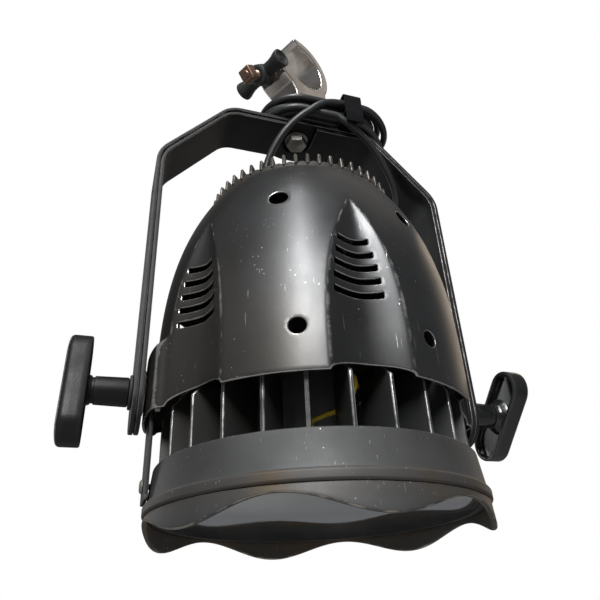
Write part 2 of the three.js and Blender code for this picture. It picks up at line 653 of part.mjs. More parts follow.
function leads() {
  const nut = rod([-38, -6, CAP_DECK + GAP], [-38, -6, CAP_DECK + 7], 9, 8, 12);
  const boot = rod([-38, -6, CAP_DECK + 6], [-38, -6, 299.6], 6.5, 4.6, 14);
  add('front_gland', nut.add(boot), PLASTIC);
  add('inlet_box', block([16, -2, CAP_DECK + GAP], [48, 30, 298]), PLASTIC);
  const sideNut = rod([48 + GAP, 14, 288.5], [55, 14, 288.5], 8, 7.2, 12);
  const sideBoot = rod([54, 14, 288.5], [79.7, 14, 288.5], 6.2, 4.6, 14);
  add('side_gland', sideNut.add(sideBoot), PLASTIC);

  add('front_lead', cable(FRONT_LEAD_ROUTE, CABLE_R, 11), RUBBER);
  add('side_lead', cable(SIDE_LEAD_ROUTE, CABLE_R, 12), RUBBER);

  const ring = outlineShape(racetrack(HANK.outerR));
  ring.holes.push(outlineShape(racetrack(HANK.innerR)));
  const wound = new THREE.ExtrudeGeometry(ring, { depth: HANK.top - HANK.bottom, bevelEnabled: false });
  wound.translate(0, 0, HANK.bottom);
  add('lead_hank', solid(wound), RUBBER);

  const tieFront = -HANK.outerR - 2 * CABLE_R - 2 * GAP;
  const tieOuter = block([37, tieFront - 2, HANK.bottom - 2.1], [55, -HANK.innerR + 2.1, HANK.top + 2.1]);
  const tieInner = block([36, tieFront - GAP, HANK.bottom - GAP], [56, -HANK.innerR + GAP, HANK.top + GAP]);
  add('cable_tie', cut(tieOuter, [tieInner]), FABRIC);

  const height = HANK.top + GAP + PLUG_R;
  for (const [name, bootEnd, y, toward] of [['power_plug', 58, 37.2, -1], ['data_plug', 30, 22.2, 1]]) {
    const onPlug = (distance) => [bootEnd + toward * distance, y, height];
    const body = rod(onPlug(16), onPlug(47), PLUG_R, PLUG_R, 16);
    add(name, body.add(rod(onPlug(0.3), onPlug(17), 4.4, 6.4, 12)), PLASTIC);
  }
}

frontRing();
lightEngine();
heatSink();
shroud('shroud_front', 0);
shroud('shroud_rear', 180);
rearCap();
insides();
pivotSide(-1, 'left', -6);
pivotSide(1, 'right', 48);
brackets();
clamp();
leads();

export default parCan;
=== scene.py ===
"""The looks of a par can stage light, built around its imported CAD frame.

Lengths are written in millimetres and turned into metres where a mesh is made. A height is
counted from the groove round the front ring, and an azimuth from the front, -Y, towards +X.
"""
import json
import math

import bpy
import numpy as np
from mathutils import Matrix, Vector
from mathutils.geometry import delaunay_2d_cdt


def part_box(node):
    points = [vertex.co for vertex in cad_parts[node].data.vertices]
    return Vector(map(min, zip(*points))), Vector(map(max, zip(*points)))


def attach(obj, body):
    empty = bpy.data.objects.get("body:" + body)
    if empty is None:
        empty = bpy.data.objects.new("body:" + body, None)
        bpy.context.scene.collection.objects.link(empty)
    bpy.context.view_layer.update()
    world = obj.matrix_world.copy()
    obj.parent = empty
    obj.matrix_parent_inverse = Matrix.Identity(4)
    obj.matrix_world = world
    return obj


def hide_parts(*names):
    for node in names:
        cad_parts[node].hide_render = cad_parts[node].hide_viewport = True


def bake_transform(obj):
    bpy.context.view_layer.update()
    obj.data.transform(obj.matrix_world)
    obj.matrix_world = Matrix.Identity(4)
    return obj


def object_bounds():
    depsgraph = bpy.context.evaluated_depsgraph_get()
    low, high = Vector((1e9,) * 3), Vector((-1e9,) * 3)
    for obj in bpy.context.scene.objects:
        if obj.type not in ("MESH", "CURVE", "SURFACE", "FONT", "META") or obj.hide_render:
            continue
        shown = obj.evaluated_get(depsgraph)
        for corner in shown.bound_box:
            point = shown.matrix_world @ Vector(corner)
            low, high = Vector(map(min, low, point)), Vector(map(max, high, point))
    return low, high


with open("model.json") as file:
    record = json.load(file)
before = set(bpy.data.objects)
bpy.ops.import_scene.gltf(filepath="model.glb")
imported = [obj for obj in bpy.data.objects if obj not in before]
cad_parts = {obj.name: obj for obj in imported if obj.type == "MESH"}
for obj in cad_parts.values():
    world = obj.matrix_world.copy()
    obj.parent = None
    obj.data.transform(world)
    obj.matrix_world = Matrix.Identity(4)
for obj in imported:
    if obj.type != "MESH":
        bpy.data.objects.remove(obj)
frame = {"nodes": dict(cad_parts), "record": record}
CAD_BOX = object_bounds()

MM = 0.001
GAP = 0.3
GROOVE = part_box("front_band")[0].z / MM - GAP / 2
PIVOT_HEIGHT = frame["record"]["behaviour"]["joints"][1]["pos_m"][2] / MM - GROOVE
PLATE_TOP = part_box("outer_yoke")[1].z / MM - GROOVE
STAND_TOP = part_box("stand_yoke")[1].z / MM - GROOVE

# ---- camera ----

CAMERA_AT = (-0.15509, -0.43151, -0.55148)
CAMERA_YAW = 19.193
CAMERA_PITCH = 29.42
CAMERA_ROLL = 2.53
CAMERA_LENS = 35.278


def linked(name, data):
    """A new object in the scene."""
    obj = bpy.data.objects.new(name, data)
    bpy.context.scene.collection.objects.link(obj)
    return obj


def make_camera():
    data = bpy.data.cameras.new("camera")
    data.sensor_width = 36.0
    data.lens = CAMERA_LENS
    camera = linked("camera", data)
    yaw, pitch = math.radians(CAMERA_YAW), math.radians(CAMERA_PITCH)
    forward = Vector((math.sin(yaw) * math.cos(pitch), math.cos(yaw) * math.cos(pitch), math.sin(pitch)))
    level = Vector((math.cos(yaw), -math.sin(yaw), 0))
    upright = level.cross(forward)
    lean = math.asin(math.sin(math.radians(CAMERA_ROLL)) / math.cos(pitch))
    right = level * math.cos(lean) - upright * math.sin(lean)
    turned = Matrix((right, right.cross(forward), -forward)).transposed()
    camera.matrix_world = Matrix.Translation(CAMERA_AT) @ turned.to_4x4()
    bpy.context.scene.camera = camera


make_camera()

# ---- meshes ----


def convexity(points, edges, normals):
    """How far each point stands out of its neighbours, from 0 on a flat face to 1 on an edge."""
    total = np.zeros(len(points))
    count = np.zeros(len(points))
    a, b = edges[:, 0], edges[:, 1]
    along = points[a] - points[b]
    along /= np.maximum(np.linalg.norm(along, axis=1, keepdims=True), 1e-9)
    np.add.at(total, a, np.einsum("ij,ij->i", along, normals[a]))
    np.add.at(total, b, -np.einsum("ij,ij->i", along, normals[b]))
    np.add.at(count, a, 1)
    np.add.at(count, b, 1)
    return np.clip(total / np.maximum(count, 1) * 8, 0, 1)


def volume(points, faces):
    """The signed volume of a closed shape, which is below 0 where its faces look inwards."""
    fans = np.array([(face[0], face[k], face[k + 1]) for face in faces for k in range(1, len(face) - 1)])
    a, b, c = points[fans[:, 0]], points[fans[:, 1]], points[fans[:, 2]]
    return np.einsum("ij,ij->", a, np.cross(b, c)) / 6


def piece(name, parts, material, body, nodes=(), sharp=38.0):
    """One object from several (points in mm, faces) parts, riding on a body."""
    points, faces = [], []
    for part_points, part_faces in parts:
        start = sum(len(p) for p in points)
        points.append(np.asarray(part_points, float))
        turn = -1 if volume(points[-1], part_faces) < 0 else 1
        faces += [tuple(int(i) + start for i in face)[::turn] for face in part_faces]
    placed = np.concatenate(points) * MM
    mesh = bpy.data.meshes.new(name)
    mesh.from_pydata(placed.tolist(), [], faces)
    mesh.validate()
    mesh.polygons.foreach_set("use_smooth", np.ones(len(mesh.polygons), bool))
    mesh.set_sharp_from_angle(angle=math.radians(sharp))
    edges = np.zeros(len(mesh.edges) * 2, int)
    mesh.edges.foreach_get("vertices", edges)
    normals = np.zeros(len(mesh.vertices) * 3)
    mesh.vertex_normals.foreach_get("vector", normals)
    worn = convexity(placed, edges.reshape(-1, 2), normals.reshape(-1, 3))
    mesh.attributes.new("wear", "FLOAT", "POINT").data.foreach_set("value", worn.astype(np.float32))
    mesh.materials.append(material)
    obj = linked(name, mesh)
    if body:
        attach(obj, body)
    if nodes:
        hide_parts(*nodes)
    return obj


def grid_faces(rows, columns, closed=False):
    """Faces between rows of points. closed joins the last row to the first; else both are filled."""
    faces = []
    for i in range(rows if closed else rows - 1):
        below, above = i * columns, ((i + 1) % rows) * columns
        for j in range(columns):
            k = (j + 1) % columns
            faces.append((below + j, below + k, above + k, above + j))
    if not closed:
        faces.append(tuple(range(columns))[::-1])
        faces.append(tuple(range((rows - 1) * columns, rows * columns)))
    return faces


def softened(points, radius, steps=4, closed=True):
    """A flat outline with each corner rounded to a radius, or to what its sides leave room for."""
    points = [np.asarray(p, float) for p in points]
    radii = radius if isinstance(radius, (list, tuple)) else [radius] * len(points)
    out = []
    for i, corner in enumerate(points):
        if not closed and i in (0, len(points) - 1):
            out.append(corner)
            continue
        back, ahead = points[i - 1] - corner, points[(i + 1) % len(points)] - corner
        long_back, long_ahead = np.linalg.norm(back), np.linalg.norm(ahead)
        back, ahead = back / long_back, ahead / long_ahead
        half = math.acos(np.clip(back @ ahead, -1, 1)) / 2
        if radii[i] <= 0 or half > math.radians(88):
            out.append(corner)
            continue
        cut = min(radii[i] / math.tan(half), 0.48 * long_back, 0.48 * long_ahead)
        r = cut * math.tan(half)
        middle = back + ahead
        centre = corner + middle / np.linalg.norm(middle) * (r / math.sin(half))
        first, last = corner + back * cut - centre, corner + ahead * cut - centre
        turn = math.pi - 2 * half
        for s in range(steps + 1):
            t = s / steps
            reach = math.sin((1 - t) * turn) * first + math.sin(t * turn) * last
            out.append(centre + reach / math.sin(turn))
    return np.array(out)


def around(section, count):
    """A closed cross-section of (radius, height) points carried round Z; it may follow the azimuth."""
    rows = []
    for azimuth in np.arange(count) * (360 / count):
        r, h = np.asarray(section(azimuth) if callable(section) else section).T
        a = math.radians(azimuth)
        rows.append(np.column_stack((r * math.sin(a), -r * math.cos(a), h + GROOVE)))
    return np.concatenate(rows), grid_faces(count, len(rows[0]), True)


def turned(profile, start, direction, sides=48):
    """A solid of revolution from (distance, radius) points along an axis; the ends lie on the axis."""
    axis = Vector(direction).normalized()
    side = axis.orthogonal().normalized()
    other = axis.cross(side)
    rows = []
    for distance, r in profile:
        ring = []
        for j in range(sides):
            a = 2 * math.pi * j / sides
            ring.append(np.array(start) + np.array(axis) * distance
                        + (np.array(side) * math.cos(a) + np.array(other) * math.sin(a)) * max(r, 0.01))
        rows.append(ring)
    return np.concatenate(rows), grid_faces(len(rows), sides)


def upright(profile, height, sides, x=0, y=0):
    """A solid of revolution round a vertical axis, its distances counted up from a height."""
    return turned(profile, (x, y, height + GROOVE), (0, 0, 1), sides)


def tube(path, r, sides=16):
    """A round tube through its points, with closed ends."""
    path = np.asarray(path, float)
    tangents = np.gradient(path, axis=0)
    tangents /= np.linalg.norm(tangents, axis=1, keepdims=True)
    side = np.cross(tangents[0], [0.3, 0.5, 1.0])
    rows = []
    angles = np.arange(sides) * 2 * math.pi / sides
    for point, along in zip(path, tangents):
        side = side - along * (side @ along)
        side /= np.linalg.norm(side)
        other = np.cross(along, side)
        rows.append(point + r * (np.cos(angles)[:, None] * side + np.sin(angles)[:, None] * other))
    return np.concatenate(rows), grid_faces(len(rows), sides)


def smooth_path(points, step):
    """Evenly spaced points along a smooth curve through given points."""
    p = np.asarray(points, float)
    p = np.vstack([2 * p[0] - p[1], p, 2 * p[-1] - p[-2]])
    fine = []
    for i in range(1, len(p) - 2):
        for t in np.linspace(0, 1, 24, endpoint=False):
            a = 2 * p[i] + (p[i + 1] - p[i - 1]) * t
            b = (2 * p[i - 1] - 5 * p[i] + 4 * p[i + 1] - p[i + 2]) * t * t
            c = (3 * p[i] - p[i - 1] - 3 * p[i + 1] + p[i + 2]) * t ** 3
            fine.append((a + b + c) / 2)
    fine.append(p[-2])
    fine = np.array(fine)
    run = np.concatenate([[0], np.cumsum(np.linalg.norm(np.diff(fine, axis=0), axis=1))])
    at = np.linspace(0, run[-1], max(3, round(run[-1] / step) + 1))
    return np.column_stack([np.interp(at, run, fine[:, k]) for k in range(3)])


def area_of(loop):
    x, y = loop[:, 0], loop[:, 1]
    return 0.5 * np.sum(x * np.roll(y, -1) - np.roll(x, -1) * y)


def inset(loop, distance):
    """A loop moved to its left by a distance."""
    ahead = np.roll(loop, -1, axis=0) - loop
    ahead /= np.maximum(np.linalg.norm(ahead, axis=1, keepdims=True), 1e-9)
    behind = np.roll(ahead, 1, axis=0)
    normal = np.column_stack((-(ahead + behind)[:, 1], (ahead + behind)[:, 0]))
    normal /= np.maximum(np.linalg.norm(normal, axis=1, keepdims=True), 1e-9)
    straight = np.column_stack((-ahead[:, 1], ahead[:, 0]))
    stretch = np.clip(np.einsum("ij,ij->i", normal, straight), 0.6, 1)
    return loop + normal * (distance / stretch)[:, None]


def inside(points, loops):
    """Whether each point lies inside the outer loop and outside the holes."""
    hit = np.zeros(len(points), int)
    for loop in loops:
        a, b = loop, np.roll(loop, -1, axis=0)
        for (ax, ay), (bx, by) in zip(a, b):
            if ay == by:
                continue
            crosses = (points[:, 1] > min(ay, by)) & (points[:, 1] <= max(ay, by))
            x = ax + (points[:, 1] - ay) * (bx - ax) / (by - ay)
            hit += crosses & (points[:, 0] < x)
    return hit % 2 == 1


def nearest(points, others):
    """How far each point is from the nearest of the others."""
    gaps = []
    for k in range(0, len(points), 1000):
        apart = points[k:k + 1000, None, :] - others[None, :, :]
        gaps.append(np.sqrt(np.min(np.einsum("ijk,ijk->ij", apart, apart), axis=1)))
    return np.concatenate(gaps)


def slab(loops, place, thick, edge, spacing, guides=(), steps=3):
    """A sheet cut to flat loops, the first its outline and the rest its holes, with rounded edges.
    place(u, v, w) carries flat points u, v at w above the sheet's middle to where they belong."""
    loops = [np.asarray(loop, float) for loop in loops]
    loops = [loop if (area_of(loop) > 0) == (k == 0) else loop[::-1] for k, loop in enumerate(loops)]
    flat, heights, faces, top_ids, under_ids = [], [], [], [], []
    start = 0
    arc = [math.radians(90 * s / steps) for s in range(steps + 1)]
    rows = [(edge * (1 - math.sin(a)), thick / 2 - edge * (1 - math.cos(a))) for a in arc]
    rows += [(back, -w) for back, w in reversed(rows)]
    for loop in loops:
        size = len(loop)
        for back, w in rows:
            flat.append(inset(loop, back))
            heights.append(np.full(size, w))
        for i in range(len(rows) - 1):
            for j in range(size):
                k = (j + 1) % size
                a, b = start + i * size, start + (i + 1) * size
                faces.append((a + j, b + j, b + k, a + k))
        top_ids += range(start, start + size)
        start += len(rows) * size
        under_ids += range(start - size, start)
    bounds = [inset(loop, edge) for loop in loops]
    edges, base = [], 0
    for loop in bounds:
        edges += [(base + j, base + (j + 1) % len(loop)) for j in range(len(loop))]
        base += len(loop)
    rim_points = np.concatenate(bounds)
    guide_points = np.asarray(guides, float).reshape(-1, 2)
    if len(guide_points):
        guide_points = guide_points[inside(guide_points, bounds)]
        guide_points = guide_points[nearest(guide_points, rim_points) > 0.8]
    low, high = rim_points.min(0), rim_points.max(0)
    filling = [np.zeros((0, 2))]
    for i, v in enumerate(np.arange(low[1] + spacing / 2, high[1], spacing * 0.866)):
        across = np.arange(low[0] + spacing * (0.3 + 0.5 * (i % 2)), high[0], spacing)
        filling.append(np.column_stack((across, np.full(len(across), v))))
    filling = np.concatenate(filling)
    if len(filling):
        filling = filling[inside(filling, bounds)]
        filling = filling[nearest(filling, np.concatenate([rim_points, guide_points])) > 0.62 * spacing]
    flat_points = np.concatenate([rim_points, guide_points, filling])
    made, _, triangles, origin, _, _ = delaunay_2d_cdt(
        [Vector(p) for p in flat_points], edges, [], 0, 1e-5)
    made = np.array([tuple(p) for p in made])
    triangles = np.array(triangles)
    middle = made[triangles].mean(axis=1)
    triangles = triangles[inside(middle, bounds)]
    top, under = np.zeros(len(made), int), np.zeros(len(made), int)
    for k in range(len(made)):
        source = origin[k][0] if origin[k] else -1
        if 0 <= source < len(top_ids):
            top[k], under[k] = top_ids[source], under_ids[source]
        else:
            top[k], under[k] = start, start + 1
            start += 2
            flat.append(np.array([made[k], made[k]]))
            heights.append(np.array([thick / 2, -thick / 2]))
    for a, b, c in triangles:
        faces.append((top[a], top[b], top[c]))
        faces.append((under[a], under[c], under[b]))
    uv = np.concatenate(flat)
    return place(uv[:, 0], uv[:, 1], np.concatenate(heights)), faces


def level(height):
    """Lays a slab flat, with its middle at a height."""
    return lambda u, v, w: np.column_stack((u, v, w + height + GROOVE))


def rectangle(x0, y0, x1, y1):
    return [(x0, y0), (x1, y0), (x1, y1), (x0, y1)]


def circle(x, y, r, count=32):
    a = np.arange(count) * 2 * math.pi / count
    return np.column_stack((x + r * np.cos(a), y + r * np.sin(a)))


def dense(loop, step):
    """A loop with points no further apart than a step."""
    loop = np.asarray(loop, float)
    out = []
    for a, b in zip(loop, np.roll(loop, -1, axis=0)):
        count = max(1, math.ceil(np.linalg.norm(b - a) / step))
        out += [a + (b - a) * i / count for i in range(count)]
    return np.array(out)


# ---- finishes ----


class Finish:
    """A node material: its shader, and short ways to add the nodes that feed it."""

    def __init__(self, name, roughness=0.5, metallic=0.0, **sockets):
        self.material = bpy.data.materials.new(name)
        self.material.use_nodes = True
        self.tree = self.material.node_tree
        self.shader = self.tree.nodes["Principled BSDF"]
        self.shader.inputs["Roughness"].default_value = roughness
        self.shader.inputs["Metallic"].default_value = metallic
        for socket, value in sockets.items():
            self.shader.inputs[socket.replace("_", " ")].default_value = value
        self.where = self.add("ShaderNodeTexCoord").outputs["Object"]

    def add(self, kind, inputs=None, **settings):
        node = self.tree.nodes.new(kind)
        for key, value in settings.items():
            setattr(node, key, value)
        for key, value in (inputs or {}).items():
            socket = node.inputs[key]
            if isinstance(value, bpy.types.NodeSocket):
                self.tree.links.new(value, socket)
            else:
                socket.default_value = value
        return node

    def link(self, output, socket):
        self.tree.links.new(output, self.shader.inputs[socket])

    def stretched(self, scale, turn=(0, 0, 0)):
        mapping = self.add("ShaderNodeMapping", {"Vector": self.where, "Scale": scale, "Rotation": turn})
        return mapping.outputs["Vector"]

    def noise(self, scale, detail=4.0, where=None, roughness=0.55, distortion=0.0):
        inputs = {"Vector": where or self.where, "Scale": scale, "Detail": detail,
                  "Roughness": roughness, "Distortion": distortion}
        return self.add("ShaderNodeTexNoise", inputs).outputs["Fac"]

    def cells(self, scale, where=None):
        inputs = {"Vector": where or self.where, "Scale": scale}
        return self.add("ShaderNodeTexVoronoi", inputs).outputs["Distance"]

    def step(self, value, low, high, to_low=0.0, to_high=1.0):
        inputs = {"Value": value, "From Min": low, "From Max": high, "To Min": to_low, "To Max": to_high}
        return self.add("ShaderNodeMapRange", inputs, interpolation_type="SMOOTHSTEP").outputs["Result"]

    def math(self, operation, a, b=0.0):
        return self.add("ShaderNodeMath", {0: a, 1: b}, operation=operation).outputs[0]

    def most(self, *values):
        out = values[0]
        for value in values[1:]:
            out = self.math("MAXIMUM", out, value)
        return out

    def mix(self, factor, a, b):
        node = self.add("ShaderNodeMix", data_type="RGBA")
        for socket, value in ((node.inputs["Factor"], factor), (node.inputs[6], a), (node.inputs[7], b)):
            if isinstance(value, bpy.types.NodeSocket):
                self.tree.links.new(value, socket)
            else:
                socket.default_value = (*value, 1) if isinstance(value, tuple) else value
        return node.outputs[2]

    def wear(self):
        return self.add("ShaderNodeAttribute", attribute_name="wear").outputs["Fac"]

    def bump(self, height, strength, distance):
        inputs = {"Height": height, "Strength": strength, "Distance": distance}
        self.link(self.add("ShaderNodeBump", inputs).outputs["Normal"], "Normal")


# The turn of each family of scratches, and how much finer its cells are across than along.
SCRATCH_WAYS = (((0.2, 0.1, 0.3), (400, 400, 8)), ((0.9, -0.5, 0.2), (360, 360, 7)),
                ((-0.7, 0.6, 1.1), (440, 440, 10)))


def painted(name, base, edge, roughness, metallic=0.0, edges=0.8, specks=0.0, scratches=0.0,
            tint=None, grain=0.25, coat=0.0, soiled=None):
    """Paint over metal: cloudy colour, bare worn edges, bright specks and fine scratches."""
    f = Finish(name, roughness, metallic)
    if coat:
        f.shader.inputs["Coat Weight"].default_value = coat
        f.shader.inputs["Coat Roughness"].default_value = 0.25
    cloud = f.noise(9.0, 5.0)
    fine = f.noise(420.0, 3.0)
    dark = tuple(c * 0.78 for c in base)
    light = tuple(min(c * 1.3 + 0.004, 1) for c in base)
    colour = f.mix(f.step(cloud, 0.3, 0.7), dark, light)
    if tint:
        colour = f.mix(f.step(f.noise(4.0, 2.0), 0.45, 0.68, 0, 0.75), colour, tint)
    if soiled:
        height = f.add("ShaderNodeSeparateXYZ", {"Vector": f.where}).outputs["Z"]
        low, high = ((GROOVE + h) * MM for h in soiled)
        above, below = f.step(height, low - 0.016, low - 0.001), f.step(height, high, high - 0.002)
        near = f.math("MULTIPLY", above, below)
        brown = f.math("MULTIPLY", near, f.step(f.noise(14.0, 5.0), 0.42, 0.62, 0.15, 1.0))
        colour = f.mix(brown, colour, (0.115, 0.088, 0.06))
    rubbed = f.step(f.math("ADD", f.wear(), f.math("MULTIPLY", f.noise(90.0, 5.0), 0.9)),
                    1.35 - edges * 0.55, 1.5 - edges * 0.35)
    marks = rubbed
    if specks:
        chip = f.step(f.cells(260.0), 0.16, 0.1)
        sparse = f.step(f.noise(38.0, 3.0), 0.72 - specks * 0.16, 0.76 - specks * 0.16)
        marks = f.most(marks, f.math("MULTIPLY", chip, sparse))
    if scratches:
        lines = []
        for turn, scale in SCRATCH_WAYS:
            where = f.stretched(scale, turn)
            line = f.step(f.cells(1.0, where), 0.085, 0.04)
            patches = f.noise(17.0, 2.0, f.stretched((1, 1, 1), turn))
            gate = f.step(patches, 0.64 - scratches * 0.12, 0.7 - scratches * 0.12)
            lines.append(f.math("MULTIPLY", line, gate))
        marks = f.most(marks, f.math("MULTIPLY", f.most(*lines), 0.75))
    f.link(f.mix(marks, colour, edge), "Base Color")
    brushed = f.noise(1.0, 4.0, f.stretched((900, 900, 60), (0.15, -0.1, 0.0)))
    rough = f.step(f.noise(24.0, 4.0), 0.3, 0.7, roughness * 0.94, min(roughness * 1.07, 1))
    rough = f.math("ADD", rough, f.step(brushed, 0.3, 0.7, -0.012, 0.014))
    worn_rough = f.math("SUBTRACT", rough, f.math("MULTIPLY", marks, roughness * 0.35))
    f.link(worn_rough, "Roughness")
    f.link(f.math("MAXIMUM", f.math("MULTIPLY", marks, 0.6), metallic), "Metallic")
    height = f.math("SUBTRACT", f.math("MULTIPLY", fine, grain), f.math("MULTIPLY", marks, 0.35))
    f.bump(height, 0.35, 0.0004)
    return f.material


def polished(name, base, dull, roughness, brush=(1, 1, 1), cloud=14.0):
    """Bare metal with smears, drawn lines and duller patches."""
    f = Finish(name, roughness, 1.0)
    patch = f.step(f.noise(cloud, 5.0, distortion=0.6), 0.38, 0.66)
    f.link(f.mix(f.math("MULTIPLY", patch, 0.7), base, dull), "Base Color")
    lines = f.noise(1.0, 3.0, f.stretched(tuple(c * 300 for c in brush), (0.1, 0.2, 0.0)))
    rough = f.step(patch, 0, 1, roughness, roughness * 1.9)
    f.link(f.math("ADD", rough, f.math("MULTIPLY", lines, 0.06)), "Roughness")
    f.bump(f.math("ADD", f.math("MULTIPLY", lines, 0.2), f.noise(60.0, 3.0)), 0.12, 0.0005)
    return f.material


def moulded(name, base, roughness, grain_scale=700.0, grain=0.3, rub=0.25, shine=0.5):
    """Moulded plastic or rubber: fine grain, dusty patches and lighter rubbed edges."""
    f = Finish(name, roughness, Specular_IOR_Level=shine)
    light = tuple(min(c * 2.2 + 0.03, 1) for c in base)
    dusty = tuple(min(c * 1.45 + 0.004, 1) for c in base)
    colour = f.mix(f.step(f.noise(16.0, 4.0), 0.35, 0.7, 0, 0.6), base, dusty)
    rubbed = f.math("MULTIPLY", f.step(f.math("ADD", f.wear(), f.noise(80.0, 4.0)), 1.0, 1.45), rub)
    f.link(f.mix(rubbed, colour, light), "Base Color")
    f.link(f.step(f.noise(30.0, 4.0), 0.3, 0.7, roughness * 0.8, min(roughness * 1.2, 1)), "Roughness")
    f.bump(f.noise(grain_scale, 3.0), grain, 0.0003)
    return f.material


def woven(name, base, light):
    """A fuzzy hook-and-loop strap: fine crossing threads under a nap."""
    f = Finish(name, 0.95, Sheen_Weight=0.02, Specular_IOR_Level=0.12)
    weft = f.noise(1.0, 2.0, f.stretched((2600, 500, 500)))
    warp = f.noise(1.0, 2.0, f.stretched((500, 500, 2600)))
    threads = f.math("ADD", weft, warp)
    f.link(f.mix(f.step(threads, 0.8, 1.25), base, light), "Base Color")
    f.bump(f.math("ADD", threads, f.noise(900.0, 4.0)), 0.6, 0.0005)
    return f.material


def clear(name, colour, roughness, smear=0.5, graze=0.0):
    """Clear plastic or glass with faint smears; graze turns it to a mirror where it is seen edge-on."""
    f = Finish(name, roughness, IOR=1.5, Specular_IOR_Level=1.0)
    f.shader.inputs["Transmission Weight"].default_value = 0.82
    smeared = f.step(f.noise(11.0, 4.0), 0.4, 0.7, 0, smear)
    f.link(f.mix(smeared, colour, tuple(c * 0.8 for c in colour)), "Base Color")
    f.link(f.step(f.noise(7.0, 5.0), 0.35, 0.75, roughness, roughness + 0.12), "Roughness")
    if graze:
        facing = f.add("ShaderNodeLayerWeight", {"Blend": 0.5}).outputs["Facing"]
        f.link(f.step(facing, 0.45, 0.8, 0.0, graze), "Metallic")
    return f.material


SHELL_BLACK = painted("shell_black", (0.05, 0.051, 0.052), (0.42, 0.41, 0.39), 0.37, 0.75, edges=0.74,
                      specks=0.75, scratches=1.25, tint=(0.085, 0.075, 0.062), coat=0.12)
RING_BLACK = painted("ring_black", (0.085, 0.086, 0.087), (0.32, 0.29, 0.25), 0.6, 0.66, edges=0.3,
                     specks=1.0, scratches=1.3, soiled=(0.0, 9.0), tint=(0.09, 0.075, 0.06))
BAR_BLACK = painted("bar_black", (0.014, 0.0145, 0.0145), (0.2, 0.19, 0.18), 0.56, 0.35, edges=0.2,
                    specks=0.35, scratches=0.25)
CAST_GREY = painted("cast_grey", (0.05, 0.053, 0.052), (0.36, 0.36, 0.36), 0.42, 0.5, edges=0.6,
                    specks=0.3, tint=(0.07, 0.062, 0.05))
CAP_GREY = painted("cap_grey", (0.024, 0.021, 0.017), (0.2, 0.18, 0.16), 0.66, 0.1, edges=0.05,
                   specks=0.3, tint=(0.05, 0.04, 0.03))
ALUMINIUM = polished("aluminium", (0.82, 0.78, 0.73), (0.5, 0.45, 0.39), 0.16, (0.3, 0.3, 2), 18.0)
ZINC = polished("zinc", (0.42, 0.4, 0.37), (0.25, 0.23, 0.2), 0.36)
BRONZE = polished("bronze", (0.36, 0.24, 0.18), (0.17, 0.11, 0.08), 0.34)
PLASTIC = moulded("plastic", (0.014, 0.0145, 0.014), 0.36, 800.0, 0.2, 0.3)
HANDLE_BLACK = moulded("handle_black", (0.02, 0.022, 0.021), 0.42, 500.0, 0.3, 0.25)
RUBBER = moulded("rubber", (0.02, 0.02, 0.02), 0.7)
JACKET = moulded("cable_jacket", (0.022, 0.023, 0.023), 0.43, 600.0, 0.15, 0.0)
DARK_PART = moulded("dark_part", (0.03, 0.032, 0.031), 0.6)
LENS = clear("lens", (0.8, 0.83, 0.83), 0.12)
GLASS = clear("glass", (0.86, 0.87, 0.87), 0.03, 0.4, 0.95)
BOARD_WHITE = moulded("board_white", (0.72, 0.73, 0.7), 0.45, 300.0, 0.1, 0.1)
YELLOW = moulded("wire_yellow", (0.62, 0.43, 0.03), 0.45, 500.0, 0.1, 0.1)
DARK_STEEL = painted("dark_steel", (0.02, 0.0205, 0.02), (0.4, 0.39, 0.37), 0.4, 0.6, edges=0.4, specks=0.3)
KNOB_SATIN = moulded("knob_satin", (0.008, 0.0082, 0.008), 0.45, 650.0, 0.25, 0.15, 0.22)
KNOB_GLOSS = moulded("knob_gloss", (0.012, 0.0125, 0.0125), 0.17, 400.0, 0.08, 0.35)
STRAP = woven("tie_fabric", (0.002, 0.0021, 0.0026), (0.008, 0.0084, 0.0105))

# ---- leads ----

CABLE = 7.0
PITCH = 7.15
HANK_BOTTOM = 386.2
HANK_END = 56.0
HANK_COLUMNS = (36.6, 29.4, 22.2)
HANK_LAYERS = tuple(HANK_BOTTOM + CABLE / 2 + PITCH * i for i in range(3))
PLUG_HEIGHT = 415.6
FRONT_LEAD_ROUTE = [
    (-38, -6, 300.2), (-38, -7.5, 312), (-36.5, -11, 325), (-33, -17, 338), (-27, -24.5, 351),
    (-19, -31, 363), (-9, -36.5, 374), (2, -42.4, 382), (13, -45.2, 390.5), (22, -45, 395),
    (31, -45, 397), (42, -44.7, 397.6), (53, -44.5, 397.6),
]
SIDE_LEAD_ROUTE = [
    (80.3, 14, 288.5), (90, 14, 289.4), (99, 13, 293.5), (106, 10.5, 301), (109.5, 6.5, 311),
    (109, 0.5, 321.5), (104.5, -6, 331), (98, -12, 339.5), (90, -18, 347.5), (81, -24, 355),
    (71, -30, 361.5), (60, -35.5, 366.5), (49, -39.5, 371), (39, -41.5, 376.5), (31, -41.5, 382),
]


def ease(t):
    t = min(max(t, 0.0), 1.0)
    return t * t * (3 - 2 * t)


def along_track(first, last, stops, start_side):
    """Points round the hank from one count of turns to another. stops lists (turn, radius, height),
    and between stops both ease over. A turn is counted from the middle of the front run,
    start_side -1, or of the back run, 1, and goes round the right end first."""
    points = []
    for turn in np.arange(first, last, 1 / 56):
        after = next((k for k, stop in enumerate(stops) if stop[0] > turn), len(stops) - 1)
        (t0, r0, h0), (t1, r1, h1) = stops[max(after - 1, 0)], stops[after]
        share = ease((turn - t0) / (t1 - t0)) if after else 0.0
        x, y = racetrack(turn % 1.0, r0 + (r1 - r0) * share, start_side)
        points.append(fanned(x, y, h0 + (h1 - h0) * share))
    return points


